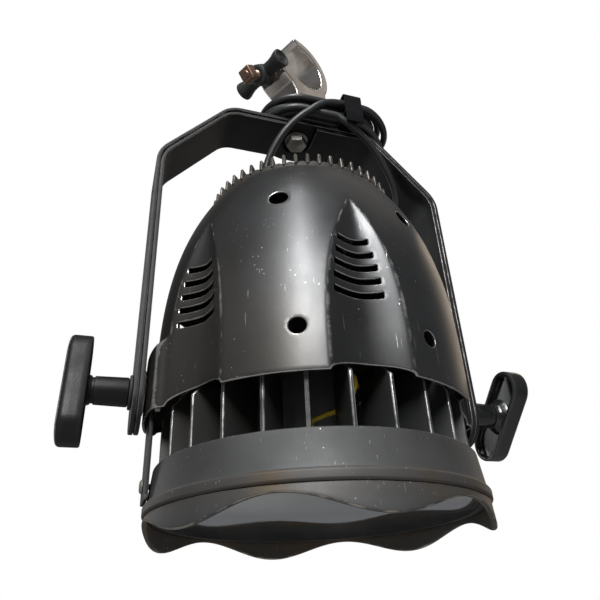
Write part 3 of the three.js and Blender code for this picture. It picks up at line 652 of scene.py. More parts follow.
def racetrack(part, r, start_side):
    """The plan of one turn: half a run, the right end, the other run, the left end, half a run."""
    run, bend = HANK_END, math.pi * HANK_COLUMNS[1]
    s = part * (2 * run + 2 * bend)
    if s < run / 2:
        x, y = run / 2 + s, r
    elif s < run / 2 + bend:
        a = math.pi * (s - run / 2) / bend
        x, y = run + r * math.sin(a), r * math.cos(a)
    elif s < 1.5 * run + bend:
        x, y = 1.5 * run + bend - s, -r
    elif s < 1.5 * run + 2 * bend:
        a = math.pi * (s - 1.5 * run - bend) / bend
        x, y = -r * math.sin(a), -r * math.cos(a)
    else:
        x, y = s - 1.5 * run - 2 * bend, r
    return x, y * start_side


def fanned(x, y, h):
    """The turns open out and droop a little where they pass the end of the plate."""
    past = ease((x - HANK_END - 4) / 42)
    top = HANK_LAYERS[2]
    sway = 1.6 * math.sin(h * 1.9 + y * 0.1) * past if h < top - 1 else 0.0
    lowered = top - (top - h) * (1 + 1.15 * past) + sway if h < top else h
    return x + past * (top - h) * 0.1, y * (1 + 0.04 * past), lowered


def power_path():
    _, mid, top = HANK_LAYERS
    outer, middle, _ = HANK_COLUMNS
    stops = [(0.084, outer + 7.9, mid + 0.8), (0.38, outer, mid), (0.75, outer, mid), (0.9, middle, mid),
             (1.6, middle, mid), (1.74, middle, top), (2.42, middle, top), (2.58, outer, top),
             (3.312, outer, top), (3.4, outer + 0.6, PLUG_HEIGHT)]
    return FRONT_LEAD_ROUTE + along_track(0.11, 3.4, stops, -1)


def data_path():
    low, mid, top = HANK_LAYERS
    outer, middle, inner = HANK_COLUMNS
    stops = [(0.49, outer + 4.9, low - 7.7), (0.62, outer, low), (1.25, outer, low), (1.4, middle, low),
             (2.25, middle, low), (2.4, inner, low), (3.1, inner, low), (3.25, inner, mid),
             (4.1, inner, mid), (4.25, inner, top), (4.89, inner, top), (5.007, inner, PLUG_HEIGHT)]
    return SIDE_LEAD_ROUTE + along_track(0.53, 5.007, stops, 1)


def raised(points):
    """Points with heights above the groove, in the row frame."""
    return [(x, y, h + GROOVE) for x, y, h in points]


def plug(name, node, x_boot, y, toward):
    """A round cable connector lying along X: ribbed boot, collar, knurled body and a recessed face."""
    z, way = PLUG_HEIGHT + GROOVE, (toward, 0, 0)
    profile = [(0, 4.2), (1, 4.7)]
    for i in range(6):
        profile += [(x + i * 2.3, r + i * 0.3) for x, r in ((2, 4.7), (3, 5.1), (3.4, 4.5), (4.1, 4.5))]
    profile += [(16.4, 6.6), (16.9, 7.3), (22, 7.5), (22.4, 7.0), (23.2, 7.0), (23.6, 7.6), (24.4, 7.9),
                (45.6, 7.9), (46.4, 7.3), (46.6, 6.6), (46.4, 6.1), (40, 5.9), (39.8, 0)]
    parts = [turned(profile, (x_boot, y, z), way, 40)]
    rib = [(0, 0), (0.6, 0.5), (1.4, 0.55), (18.6, 0.55), (19.4, 0.5), (20, 0)]
    for i in range(14):
        a = 2 * math.pi * i / 14
        start = (x_boot + toward * 24, y + 7.7 * math.cos(a), z + 7.7 * math.sin(a))
        parts.append(turned(rib, start, way, 8))
    pin = [(0, 0.9), (7, 0.9), (7.6, 0.5), (7.8, 0)]
    for dy, dz in ((0, 2.9), (2.6, -1.6), (-2.6, -1.6)):
        parts.append(turned(pin, (x_boot + toward * 39, y + dy, z + dz), way, 12))
    return piece(name, parts, PLASTIC, "yoke", [node])


def lead(name, points, nodes):
    path = smooth_path(raised(points), 2.5)
    obj = piece(name, [tube(path, CABLE / 2, 18)], JACKET, None, nodes, 60)
    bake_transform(obj)


POWER_PLUG = plug("power_connector", "power_plug", 58, 37.2, -1)
DATA_PLUG = plug("data_connector", "data_plug", 30, 22.2, 1)
lead("power_lead", power_path(), ["front_lead", "lead_hank"])
lead("data_lead", data_path(), ["side_lead"])


def boot(name, node, start, axis, length):
    """A cable gland: hexagonal nut with a washer, and a long ribbed boot that tapers to the cable."""
    washer = turned([(0, 9.2), (0.2, 9.6), (1.2, 9.6), (1.5, 9.2)], start, axis, 40)
    nut = turned([(1.5, 7.6), (1.9, 8.3), (5.6, 8.3), (6.6, 7.4), (6.7, 6.6)], start, axis, 6)
    profile = [(6.0, 6.4), (7.2, 6.6)]
    ribs = 7
    for i in range(ribs):
        at = 7.6 + (length - 9.5) * i / ribs
        size = 6.4 - 1.9 * i / ribs
        step = (length - 9.5) / ribs
        profile += [(at + share * step, size - less)
                    for share, less in ((0, 0), (0.55, 0.1), (0.62, 0.8), (0.93, 0.9))]
    profile += [(length - 1.4, 4.7), (length - 0.4, 4.5), (length, 4.1), (length - 0.1, 3.55)]
    parts = [washer, nut, turned(profile, start, axis, 36)]
    piece(name, parts, PLASTIC, "head", [node], 30)


boot("front_strain_relief", "front_gland", (-38, -6, 268.3 + GROOVE), (0, 0, 1), 31.5)
boot("side_strain_relief", "side_gland", (48.3, 14, 288.5 + GROOVE), (1, 0, 0), 31.5)


def strap():
    """A hook-and-loop strap round the front run, its end lapped over and its tail hanging in front."""
    top = HANK_LAYERS[2] + CABLE / 2 + 1.2
    ring = softened(rectangle(-48.8, HANK_BOTTOM - 1.2, -17.6, top), [3.6, 3.6, 3.6, 5.0], 6)
    ring = dense(ring, 2.0)
    width = np.linspace(-9, 9, 19)

    def band(loop, lift, closed, wave):
        normals = np.gradient(loop, axis=0)
        normals = np.column_stack((normals[:, 1], -normals[:, 0]))
        normals /= np.linalg.norm(normals, axis=1, keepdims=True)
        rows = []
        for k, (p, n) in enumerate(zip(loop, normals)):
            middle = 46 + wave * math.sin(k * 0.35)
            rows += [(middle + x, *(p + n * (lift + 1.5 + 0.12 * math.sin(x * 2 + k)))) for x in width]
            rows += [(middle + x, *(p + n * lift)) for x in width[::-1]]
        points = np.array(rows)
        points[:, 2] += GROOVE
        return points, grid_faces(len(loop), 2 * len(width), closed)

    tail = smooth_path([(-49.4, top - 7, 0), (-50.4, top - 13, 0), (-50.8, 389, 0), (-50.9, 379, 0),
                        (-49.6, 371, 0)], 1.5)[:, :2]
    parts = [band(ring, 0.0, True, 0.0), band(tail[::-1], 0.1, False, 0.4)]
    piece("cable_strap", parts, STRAP, "yoke", ["cable_tie"], 50)


strap()

# ---- shell ----

FLAT_R = 110.0
SHELL_BOTTOM = 66.6
SHELL_TOP = 266.8
SHELL_BOTTOM_R = 124.7
SHELL_TOP_R = 86.1
SHELL_FULLNESS = 3.4
SHELL_WALL = 2.0
SCOOP_TIP = 214.0
SCOOP_HALF_ANGLE = 13.3
SCOOP_DEPTH = 11.5
SCOOP_CURVE = 1.7
SCOOP_LOW_SHARE = 0.8
SCOOP_RIDGE = 1.1
LOUVRES = ((126, 9), (137.5, 8.6), (148.5, 8), (159.5, 7.1), (171, 6))
LOUVRE_LEAN = -1.4
SHELL_HOLES = ((22.5, 98, 6), (28, 214, 7.5))
ARCH = 7.5
BOSS_DEPTH = 7.0
BOSS_HALF_ANGLE = 16.8
BOSS_EDGE = 3.2
BOSS_TOP = 121
PIVOT_HOLE_R = 12.4


def lower_of(a, b, soft):
    return 0.5 * (a + b - np.sqrt((a - b) ** 2 + soft ** 2))


def higher_of(a, b, soft):
    return 0.5 * (a + b + np.sqrt((a - b) ** 2 + soft ** 2))


def plain_radius(height):
    up = np.clip((height - SHELL_BOTTOM) / (SHELL_TOP - SHELL_BOTTOM), 0, 1)
    return SHELL_BOTTOM_R - (SHELL_BOTTOM_R - SHELL_TOP_R) * up ** SHELL_FULLNESS


def scoop_half_angle(height):
    up = np.clip((height - SHELL_BOTTOM) / (SCOOP_TIP - SHELL_BOTTOM), 0, 0.995)
    return SCOOP_HALF_ANGLE * (1 - up ** 3.2)


def shell_radius(azimuth, height):
    """The shell's outer face, with ridged scoops every 60 degrees and a boss round each pivot."""
    up = np.clip((height - SHELL_BOTTOM) / (SCOOP_TIP - SHELL_BOTTOM), 0, 0.995)
    across = np.abs((azimuth + 30) % 60 - 30) / scoop_half_angle(height)
    opening = SCOOP_LOW_SHARE + (1 - SCOOP_LOW_SHARE) * np.clip(up * 4, 0, 1)
    depth = SCOOP_DEPTH * opening * (1 - up ** 3.5)
    ridge = SCOOP_RIDGE * (1 - up ** 3) * np.exp(-np.maximum(across - 1, 0) / 0.22)
    floor = ridge - depth * (1 - across ** SCOOP_CURVE)
    scoop = np.where(height < SCOOP_TIP, lower_of(floor, ridge, 1.1), 0.0)
    from_side = np.abs(azimuth % 180 - 90)
    boss = lower_of(BOSS_DEPTH + 0 * height, BOSS_DEPTH * (BOSS_HALF_ANGLE - from_side) / BOSS_EDGE, 1.7)
    boss = lower_of(boss, (BOSS_TOP - height) * 1.4, 0.8)
    return plain_radius(height) + higher_of(scoop, boss, 0.6)


def shell_half(name, node, centre):
    """Half the shell, cut from a sheet laid out by azimuth and height."""
    half = math.radians(89.92) * FLAT_R
    wide = PIVOT_HOLE_R * FLAT_R / (SHELL_BOTTOM_R + BOSS_DEPTH)
    bottom = []
    for u in np.linspace(-half, half, 300):
        across = abs((math.degrees(u / FLAT_R) + 30) % 60 - 30) / SCOOP_HALF_ANGLE
        bottom.append((u, SHELL_BOTTOM + ARCH * math.sqrt(max(0, 1 - across ** 2))))
    arc = [math.radians(-90 + 180 * i / 20) for i in range(21)]
    notch = [(half - wide * math.cos(a), PIVOT_HEIGHT + PIVOT_HOLE_R * math.sin(a)) for a in arc]
    rise = [(half, h) for h in np.arange(69, 75.4, 2)] + notch
    rise += [(half, h) for h in np.arange(102.5, SHELL_TOP, 2.5)]
    top = [(u, SHELL_TOP) for u in np.linspace(half, -half, 150)]
    loops = [bottom + rise + top + [(-u, h) for u, h in rise[::-1]]]
    for azimuth, height, r in SHELL_HOLES:
        for side in (-1, 1):
            hole = circle(0, 0, r, 40) * (FLAT_R / plain_radius(height), 1)
            loops.append(hole + (side * math.radians(azimuth) * FLAT_R, height))
    for scoop in (-60, 0, 60):
        for height, half_angle in LOUVRES:
            wide = math.radians(half_angle) * FLAT_R
            box = dense(softened(rectangle(-wide, -2.5, wide, 2.5), 1.0, 3), 1.6)
            box[:, 1] += (box[:, 0] / wide) ** 2
            loops.append(box + (math.radians(scoop + LOUVRE_LEAN) * FLAT_R, height))
    guides = []
    for scoop in (-60, 0, 60):
        for height in np.arange(SHELL_BOTTOM + 3, SCOOP_TIP - 1, 2.2):
            for across in (0.0, 0.5, 0.8, 0.9, 0.97, 1.03, 1.1, 1.25):
                reach = across * scoop_half_angle(height)
                guides += [(math.radians(scoop + side * reach) * FLAT_R, height) for side in (-1, 1)]

    def face(azimuth, height):
        r, a = shell_radius(azimuth, height), np.radians(azimuth)
        return np.column_stack((r * np.sin(a), -r * np.cos(a), height + GROOVE))

    def place(u, v, w):
        azimuth = centre + np.degrees(u / FLAT_R)
        along = face(azimuth + 0.2, v) - face(azimuth - 0.2, v)
        normal = np.cross(along, face(azimuth, v + 0.3) - face(azimuth, v - 0.3))
        normal /= np.linalg.norm(normal, axis=1, keepdims=True)
        return face(azimuth, v) + normal * (w - SHELL_WALL / 2)[:, None]

    kept = []
    for u, h in guides:
        if all(abs(u - x) + abs(h - y) > 0.7 for x, y in kept[-18:]):
            kept.append((u, h))
    shape = slab(loops, place, SHELL_WALL, 0.7, 2.1, kept)
    piece(name, [shape], SHELL_BLACK, "head", [node], 50)


shell_half("front_shell", "shroud_front", 0)
shell_half("rear_shell", "shroud_rear", 180)

# ---- front ring, glass and light engine ----

GROOVE_R = 125.0
HOOD_EDGE = -11.2
HOOD_WAVE = 6.4
FAR_LOBES_SHORTER = 1.4
BAND_TOP = 32.5
# Heights of the undersides of the glass, the lens plate, the board and the sink's base.
GLASS_BOTTOM = 0.5
LENS_PLATE = 12
BOARD = 22
SINK_BASE = 24
SINK_FINS = 26


def hood(azimuth):
    a = math.radians(azimuth)
    edge = HOOD_EDGE - HOOD_WAVE * math.cos(a * 6) + FAR_LOBES_SHORTER * (1 - math.cos(a))
    third = edge / 3
    outline = [(1, edge), (0.7, 2 * third), (0.3, third), (0, -0.15), (-3, -0.15), (-2.8, third),
               (-2.6, 2 * third), (-2.5, edge)]
    outline = [(GROOVE_R + r, h) for r, h in outline]
    return softened(outline, [1.4, 0, 0, 0.7, 0.5, 0, 0, 1.4], 4)


piece("wavy_hood", [around(hood, 480)], RING_BLACK, "head", ["hood_ring"], 60)

BAND = softened(
    [(125.2, 0.15), (126.6, 1.4), (126.6, 6.2), (125.6, 7.6), (124.1, 8.0), (121, BAND_TOP),
     (118, BAND_TOP), (118, 7.5), (122, 7.5), (122, 0.15)],
    [0.8, 1.4, 1.4, 0.6, 0.7, 1.3, 0.5, 0.3, 0.3, 0.4], 4)
piece("band", [around(dense(BAND, 3.0), 360)], RING_BLACK, "head", ["front_band"], 50)

GLASS_PROFILE = [(0, 0), (0, 116), (0.5, 117), (3.5, 117), (4, 116.2), (4, 0)]
piece("glass_disc", [upright(GLASS_PROFILE, GLASS_BOTTOM, 180)], GLASS, "head", ["front_glass"])
SEAL = softened([(113, 4.8), (117.3, 4.8), (117.3, -0.5), (121.7, -0.5), (121.7, 7.2), (113, 7.2)],
                0.5, 3)
piece("seal", [around(SEAL, 180)], RUBBER, "head", ["glass_seal"])


def lens_places():
    yield 0.0, 0.0
    for ring, count in ((1, 6), (2, 12)):
        for i in range(count):
            a = 2 * math.pi * i / count
            yield ring * 42 * math.cos(a), ring * 42 * math.sin(a)


def light_engine():
    plate = upright([(0, 0), (0, 107.4), (0.4, 108), (2, 108), (2.5, 107.4), (2.5, 0)], LENS_PLATE, 120)
    dome = [(-1.9, 0), (-1.8, 4), (-1.5, 8), (-0.9, 12), (-0.1, 15), (0.6, 16.4), (0.2, 17.4),
            (0.6, 18.4), (2.0, 18.2), (2.4, 17.6), (5, 13), (8.3, 8), (8.5, 7.4), (8.5, 4.6), (6.4, 4.2),
            (6.2, 0)]
    lenses = [upright(dome, LENS_PLATE, 36, x, y) for x, y in lens_places()]
    piece("lens_array", [plate, *lenses], LENS, "head", ["lens_plate"])
    board = upright([(0, 0), (0, 103.6), (0.3, 104), (1.3, 104), (1.6, 103.6), (1.6, 0)], BOARD, 120)
    bead = [(-0.5, 0), (-0.45, 0.9), (-0.2, 1.5), (0.2, 1.8), (0.4, 1.8), (0.4, 0)]
    chips = []
    for x, y in lens_places():
        square = softened(rectangle(x - 2.5, y - 2.5, x + 2.5, y + 2.5), 0.5, 3)
        chips.append(slab([square], level(21.4), 1.2, 0.3, 2))
        chips.append(upright(bead, 20.9, 16, x, y))
    piece("chip_board", [board, *chips], BOARD_WHITE, "head", ["led_board"])


light_engine()


def radial(azimuth):
    """Carries radius and height, with w across the blade, to a blade at an azimuth."""
    a = math.radians(azimuth)
    out, along = np.array((math.sin(a), -math.cos(a))), np.array((math.cos(a), math.sin(a)))

    def place(u, v, w):
        flat = u[:, None] * out + w[:, None] * along
        return np.column_stack((flat, v + GROOVE))
    return place


def heat_sink():
    rim = [(0, 0), (0, 117.2), (0.5, 117.7), (6.4, 117.7), (7, 117.1), (7, 0)]
    base = upright(rim, SINK_BASE, 156)
    outline = [(78, 30.2), (117.6, 30.2), (117.6, 69.5), (108.4, 79), (78, 79)]
    outline = dense(softened(outline, [0.5, 0.5, 3.5, 3, 2], 4), 5)
    blades = [slab([outline], radial((i + 0.5) * 360 / SINK_FINS), 3.0, 1.3, 7, (), 4)
              for i in range(SINK_FINS)]
    piece("finned_sink", [base, *blades], CAST_GREY, "head", ["heat_sink"], 50)


heat_sink()


COVER = [circle(0, 0, 109, 160), circle(32.2, -56.6, 6), circle(30.2, -31.6, 6)]
piece("cover_plate", [slab(COVER, level(80.1), 1.6, 0.5, 9)], DARK_STEEL, "head", ["sink_cover"])

# ---- rear cap ----

CAP_R = 83.0
CAP_DECK = 268.0
CAP_BOTTOM = 259.0
CAP_SCREWS_R = 53
CAP_FINS = 52


def cap_wall(azimuth):
    between = azimuth * CAP_FINS / 360 % 1
    top = CAP_DECK + 0.6 + 5.2 * math.sqrt(max(0, 1 - (2 * between - 1) ** 2))
    outline = [(CAP_R + 1.4, CAP_DECK - 1), (CAP_R + 1.2, top), (CAP_R - 2.6, top),
               (CAP_R - 2.6, CAP_DECK - 1)]
    return softened(outline, [0.2, 1.3, 1.3, 0.2], 4)


def rear_cap():
    deck = [(0, 0), (0, 76.4), (-2.6, 78.6), (-3, 79.4), (0.8, 82.6), (1.4, 83), (8.4, 83), (9, 82.4),
            (9, 0)]
    outline = [(55, 267.4), (82, 267.4), (85.6, 271), (84.6, 281.4), (83.4, 281.4), (68, 272.4),
               (55, 268.6)]
    outline = dense(softened(outline, [0.3, 0.5, 1.2, 0.8, 1.0, 4, 0.3], 4), 4)
    blades = [slab([outline], radial(i * 360 / CAP_FINS), 3.0, 1.2, 5, (), 3) for i in range(CAP_FINS)]
    parts = [upright(deck, CAP_BOTTOM, 156), around(cap_wall, CAP_FINS * 12), *blades]
    piece("finned_cap", parts, CAP_GREY, "head", ["rear_cap"], 50)
    screw = [(-13.5, 0), (-13.4, 1.6), (-13, 1.9), (0.2, 1.9), (0.2, 4.1), (0.6, 4.3), (1.6, 4.1),
             (2.5, 3.2), (2.8, 2.2), (2.7, 1.7), (1.5, 1.5), (1.4, 0)]
    for i in range(4):
        a = math.radians(45 + 90 * i)
        shape = upright(screw, CAP_DECK + 0.2, 36, CAP_SCREWS_R * math.sin(a), -CAP_SCREWS_R * math.cos(a))
        piece(f"cap_fastener_{i + 1}", [shape], ZINC, "head", [f"cap_screw_{i + 1}"])


rear_cap()

# ---- insides ----


EARTH_ROUTE = [
    (24, -42, 127.6), (25, -46, 113), (30, -55, 95), (32, -57, 83), (30, -61, 77), (20, -71, 76.5),
    (6, -75, 76.5), (-1, -80, 76.5), (-3, -91, 76), (-4, -98, 72.5), (-4, -98, 66), (-4, -88, 61),
    (-8, -77, 57), (-18, -73, 53.5), (-26, -71, 49), (-22, -68, 41), (0, -65, 35), (20, -63, 33),
    (34, -62, 31.4),
]
FEED_ROUTE = [(36, -42, 127.6), (37, -41, 110), (32, -34, 85), (20, -26, 60), (12, -22, 31.4)]


def insides():
    lug = [(0, 0), (0, 4), (0.4, 4.3), (1.0, 4.3), (1.2, 3.8), (1.3, 0)]
    parts = [tube(smooth_path(raised(EARTH_ROUTE), 1.5), 1.7), upright(lug, 31.1, 24, 34, -62)]
    piece("earth_lead", parts, YELLOW, "head", ["earth_wire"])
    feed = tube(smooth_path(raised(FEED_ROUTE), 2), 1.6, 14)
    piece("feed_lead", [feed], RUBBER, "head", ["feed_wire"])
    for node, material in (("driver_bracket", ZINC), ("driver_module", CAST_GREY),
                           ("terminal_block", PLASTIC), ("terminal_bracket", ZINC)):
        obj = frame["nodes"][node]
        obj.data.materials.clear()
        obj.data.materials.append(material)
        rounding = obj.modifiers.new("rounded", "BEVEL")
        rounding.width = 0.5 * MM
        rounding.segments = 3
        rounding.limit_method = "ANGLE"
    box = softened(rectangle(16, -2, 48, 30), 3.5, 5)
    body = slab([dense(box, 3)], level(282.6), 28.0, 1.2, 6)
    lid = slab([dense(box + (box - (32, 14)) * 0.02, 3)], level(296.7), 2.4, 0.8, 6)
    head = [(0, 0), (0, 1.9), (0.5, 2), (1.0, 1.6), (1.1, 1.1), (0.6, 0.9), (0.6, 0)]
    heads = [upright(head, 297.0, 16, x, y) for x in (20, 44) for y in (2, 26)]
    piece("junction_box", [body, lid, *heads], PLASTIC, "head", ["inlet_box"])


insides()

# ---- brackets and pivots ----

BAR_WIDTH = 48.0
BAR_THICK = 3.5
ARM_END = 57.0
PLATE_HALF = 75.0
SHOULDER = 310.0
KNOB_FOOT = 143.6
WING_MIDDLE = 181.6


def bent_line(outer_x, shoulder, top):
    """The middle line of a bent bar in X and height, and its outward normal, by distance along it."""
    x, top = outer_x - BAR_THICK / 2, top - BAR_THICK / 2
    corners = [(-x, ARM_END), (-x, shoulder), (-PLATE_HALF, top)]
    corners += [(-x, h) for x, h in corners[::-1]]
    line = softened(corners, [0, 30, 24, 24, 30, 0], 10, False)
    run = np.concatenate([[0], np.cumsum(np.linalg.norm(np.diff(line, axis=0), axis=1))])
    at = np.arange(0, run[-1] + 0.25, 0.5)
    fine = np.column_stack([np.interp(at, run, line[:, k]) for k in range(2)])
    ahead = np.gradient(fine, axis=0)
    kernel = np.ones(9) / 9
    padded = np.pad(ahead, ((4, 4), (0, 0)), mode="edge")
    ahead = np.column_stack([np.convolve(padded[:, k], kernel, "valid") for k in range(2)])
    ahead /= np.linalg.norm(ahead, axis=1, keepdims=True)
    return at, fine, np.column_stack((-ahead[:, 1], ahead[:, 0]))


def bent_bar(name, node, body, outer_x, shoulder, top, slotted):
    at, line, normal = bent_line(outer_x, shoulder, top)
    total, half = at[-1], BAR_WIDTH / 2
    turn = [math.radians(-90 + 180 * i / 24) for i in range(25)]
    low = [(half, -half)]
    if slotted:
        low += [(total / 2 - 15, -half)]
        low += [(total / 2 - 15 * math.cos(a), 15 * math.sin(a)) for a in np.linspace(0, math.pi, 24)]
        low += [(total / 2 + 15, -half)]
    right = [(total - half + half * math.cos(a), half * math.sin(a)) for a in turn]
    left = [(half - half * math.cos(a), -half * math.sin(a)) for a in turn]
    loops = [dense(low + right + left[:-1], 3.0)]
    pivot = PIVOT_HEIGHT - ARM_END
    holes = (pivot, total - pivot) if slotted else (pivot, total - pivot, total / 2)
    loops += [circle(at_hole, 0, 6.3) for at_hole in holes]

    def place(u, v, w):
        x, h = (np.interp(u, at, line[:, k]) for k in range(2))
        nx, nh = (np.interp(u, at, normal[:, k]) for k in range(2))
        return np.column_stack((x + nx * w, v, h + nh * w + GROOVE))

    piece(name, [slab(loops, place, BAR_THICK, 0.8, 3.2)], BAR_BLACK, body, [node], 50)


bent_bar("outer_bar", "outer_yoke", "yoke", 141.0, SHOULDER, PLATE_TOP, False)
bent_bar("stand_bar", "stand_yoke", "stand", 137.0, SHOULDER - 6 * 0.41, STAND_TOP, True)


def wing_ring(back, sides):
    """Points round an obround, moved in from its edge."""
    straight, r = 43.0 - 17.0, max(17.0 - back, 0.3)
    a = np.arange(sides) * 2 * math.pi / sides + math.pi / sides
    return np.column_stack((r * np.cos(a), r * np.sin(a) + np.where(np.sin(a) > 0, straight, -straight)))


def knob(side, word, lean, material):
    """A T-shaped hand knob: grooved neck, and an obround wing, hollow on its inner side."""
    h = PIVOT_HEIGHT + GROOVE
    neck = [(0, 10.2), (0.5, 10.9), (1.5, 11), (20, 10.6), (24, 10.5), (24.4, 9.6), (26, 9.6),
            (26.4, 10.5), (28.5, 11.4), (30.5, 12.8), (33, 15.0), (35, 16.2)]
    neck = turned(neck, (side * KNOB_FOOT, 0, h), (side, 0, 0), 56)
    profile = [(14, -3.6), (9, -3.6), (5.2, -3.6), (4.2, -3.9), (3.6, -5), (3.3, -8), (2.9, -8.7),
               (2.2, -9), (1.1, -9), (0.4, -8.7), (0, -7.8), (0, -4), (0, 0), (0, 4), (0.3, 5.3),
               (1.1, 6.4), (2.4, 7.2), (4.5, 7.8), (8, 8.4), (12, 8.8), (16.4, 9)]
    sides = 72
    lean = math.radians(lean)
    rows = []
    for back, x in profile:
        ring = wing_ring(back, sides)
        y = ring[:, 0] * math.cos(lean) - ring[:, 1] * math.sin(lean)
        z = ring[:, 0] * math.sin(lean) + ring[:, 1] * math.cos(lean)
        rows.append(np.column_stack((np.full(sides, side * (WING_MIDDLE + x)), y, z + h)))
    wing = (np.concatenate(rows), grid_faces(len(rows), sides))
    piece(f"hand_knob_{word}", [neck, wing], material, f"{word}_knob", [f"knob_{word}"], 40)


def pivot(side, word):
    def along(profile, sides=48, height=PIVOT_HEIGHT):
        return turned(profile, (0, 0, height + GROOVE), (side, 0, 0), sides)
    thread = [(119, 4.2), (119.6, 4.9)]
    for i in range(41):
        thread += [(120.2 + i * 1.25, 4.98), (120.8 + i * 1.25, 4.45)]
    thread += [(171.4, 4.2)]
    piece(f"stud_{word}", [along(thread, 24)], ZINC, f"{word}_stud", [f"knob_stud_{word}"])
    washer = [(141.3, 5.4), (141.3, 12.4), (141.8, 13), (142.8, 13), (143.3, 12.4), (143.3, 5.4)]
    piece(f"washer_{word}", [along(washer)], RUBBER, f"{word}_stud", [f"knob_washer_{word}"])
    bush = [(117, 5.4), (117, 8.6), (117.4, 9), (119.3, 9), (119.3, 12.5), (119.8, 13), (123.6, 13),
            (124.1, 12.5), (124.1, 9), (132.1, 9), (132.1, 16.4), (132.5, 17), (132.9, 17),
            (133.2, 16.5), (133.2, 5.4)]
    piece(f"bush_{word}", [along(bush)], DARK_STEEL, "head", [f"pivot_bush_{word}"])
    arc = [math.radians(180 * i / 20) for i in range(21)]
    outline = [(-15, 9), (15, 9), *[(15 * math.cos(a), PIVOT_HEIGHT + 15 * math.sin(a)) for a in arc]]
    outline = dense(softened(outline, [2.5, 2.5] + [0] * 21, 5), 3)

    def place(u, v, w):
        return np.column_stack((side * (w + 125.9), u, v + GROOVE))

    strip = slab([outline, circle(0, PIVOT_HEIGHT, 9.3), circle(0, 20, 2.3, 16)], place, 3.0, 0.7, 5)
    piece(f"side_strap_{word}", [strip], BAR_BLACK, "head", [f"side_bracket_{word}"], 50)
    head = [(118.5, 0), (118.6, 1.7), (119, 2), (127.6, 2), (127.7, 4.8), (128.1, 5), (129, 4.6),
            (129.7, 3.6), (129.9, 2.6), (129.8, 2.2), (128.7, 2.0), (128.6, 0)]
    piece(f"strap_screw_{word}", [along(head, 36, 20)], ZINC, "head", [f"bracket_screw_{word}"])


for word, way, lean, finish in (("left", -1, -6, KNOB_SATIN), ("right", 1, 48, KNOB_GLOSS)):
    pivot(way, word)
    knob(way, word, lean, finish)

# ---- hook clamp ----

CLAMP_TURN = math.radians(27)
CLAMP_DEPTH = 36.0
BOLT_DROP = math.radians(38)
FOOT = -95.0


def swivelled(x, y, z):
    """Carries the clamp's own x, y, z to the row frame."""
    c, s = math.cos(CLAMP_TURN), math.sin(CLAMP_TURN)
    x, y = np.asarray(x), np.asarray(y)
    return np.column_stack((x * c - y * s, x * s + y * c, z))


def swivelled_turned(profile, start, direction, sides):
    """A solid of revolution laid out along the clamp's own axes."""
    at = swivelled([start[0]], [start[1]], [start[2]])[0]
    way = swivelled([direction[0]], [direction[1]], [direction[2]])[0]
    return turned(profile, at, way, sides)


def bend(r, first, last, count):
    a = np.radians(np.linspace(first, last, count))
    return list(zip(r * np.cos(a), r * np.sin(a)))


def hook():
    outline = [(-13, FOOT + 26), (13, FOOT + 26), (23, FOOT + 38), (33, FOOT + 56),
               *bend(39.5, -28, 92, 40), (-12, 38.5), (-14, 35), (-8, 30), *bend(29, 89, -158, 70),
               (-34.5, -14), (-39, -20.5), (-30, -32), (-20, -38), (-13, -48)]
    soft = [3, 3, 8, 14] + [0] * 40 + [2.2, 1.6, 2.2] + [0] * 70 + [3, 4, 7, 9, 9]
    outline = dense(softened(outline, soft, 6), 3)
    body = slab([outline], lambda u, v, w: swivelled(u, -w, v), CLAMP_DEPTH, 2.4, 6, (), 5)
    foot = [(0, 0), (0, 16.6), (0.9, 17.5), (12.5, 17.5), (14.5, 17.2), (28, 14.6), (33, 13), (33, 0)]
    base = swivelled_turned(foot, (0, 0, FOOT + 0.3), (0, 0, 1), 72)
    piece("hook_body", [body, base], ALUMINIUM, "clamp", ["clamp_hook"], 50)


def clamp_screw():
    away = np.array((-math.cos(BOLT_DROP), 0, -math.sin(BOLT_DROP)))
    thread = [(29.5, 0), (29.7, 3.8), (30.4, 4.5)]
    for i in range(31):
        thread += [(31 + i * 1.5, 4.98), (31.75 + i * 1.5, 4.3)]
    thread += [(77.7, 4.6), (80, 4.6), (80.1, 0)]
    rod = swivelled_turned(thread, (0, 0, 0), away, 28)
    square = softened(rectangle(-7.3, -7.3, 7.3, 7.3), 1.3, 4)
    up = np.array((away[2], 0, -away[0]))

    def place(u, v, w):
        p = away * 83.5 + np.outer(w, away) + np.outer(v, up)
        return swivelled(p[:, 0], u, p[:, 2])

    head = slab([dense(square, 2)], place, 10.4, 1.3, 3, (), 4)
    tip = swivelled_turned([(88, 4.2), (89.2, 4.2), (89.8, 3.6), (89.8, 0)], (0, 0, 0), away, 24)
    piece("screw_rod", [rod, head, tip], BRONZE, "clamp_screw", ["clamp_bolt"], 40)
    half = [(0.2, 0), (2.4, 2.5), (2.6, 4.5), (1.6, 6.6), (0.4, 7.8), (0, 8.8), (0.5, 9.6), (2, 9.8),
            (5, 9.3), (9, 8.1), (14, 7.2), (20, 7.1), (26, 7.7), (31, 8.2)]
    whole = half + [(62 - d, r) for d, r in half[::-1][1:]]
    middle = away * 60
    lobes = swivelled_turned(whole, (middle[0], -31, middle[2]), (0, 1, 0), 48)
    hub = [(49.6, 5.4), (49.6, 9.6), (50.1, 10.8), (51, 11.4), (53.5, 11.5), (54, 10.9), (55, 10.9),
           (55.5, 11.4), (65, 10.9), (65.4, 10.2), (66.3, 10.2), (66.8, 10.6), (69.3, 10.3), (70, 9.4),
           (70, 5.4)]
    collar = swivelled_turned(hub, (0, 0, 0), away, 56)
    piece("tee_handle", [lobes, collar], HANDLE_BLACK, "clamp_turner", ["clamp_handle"], 45)


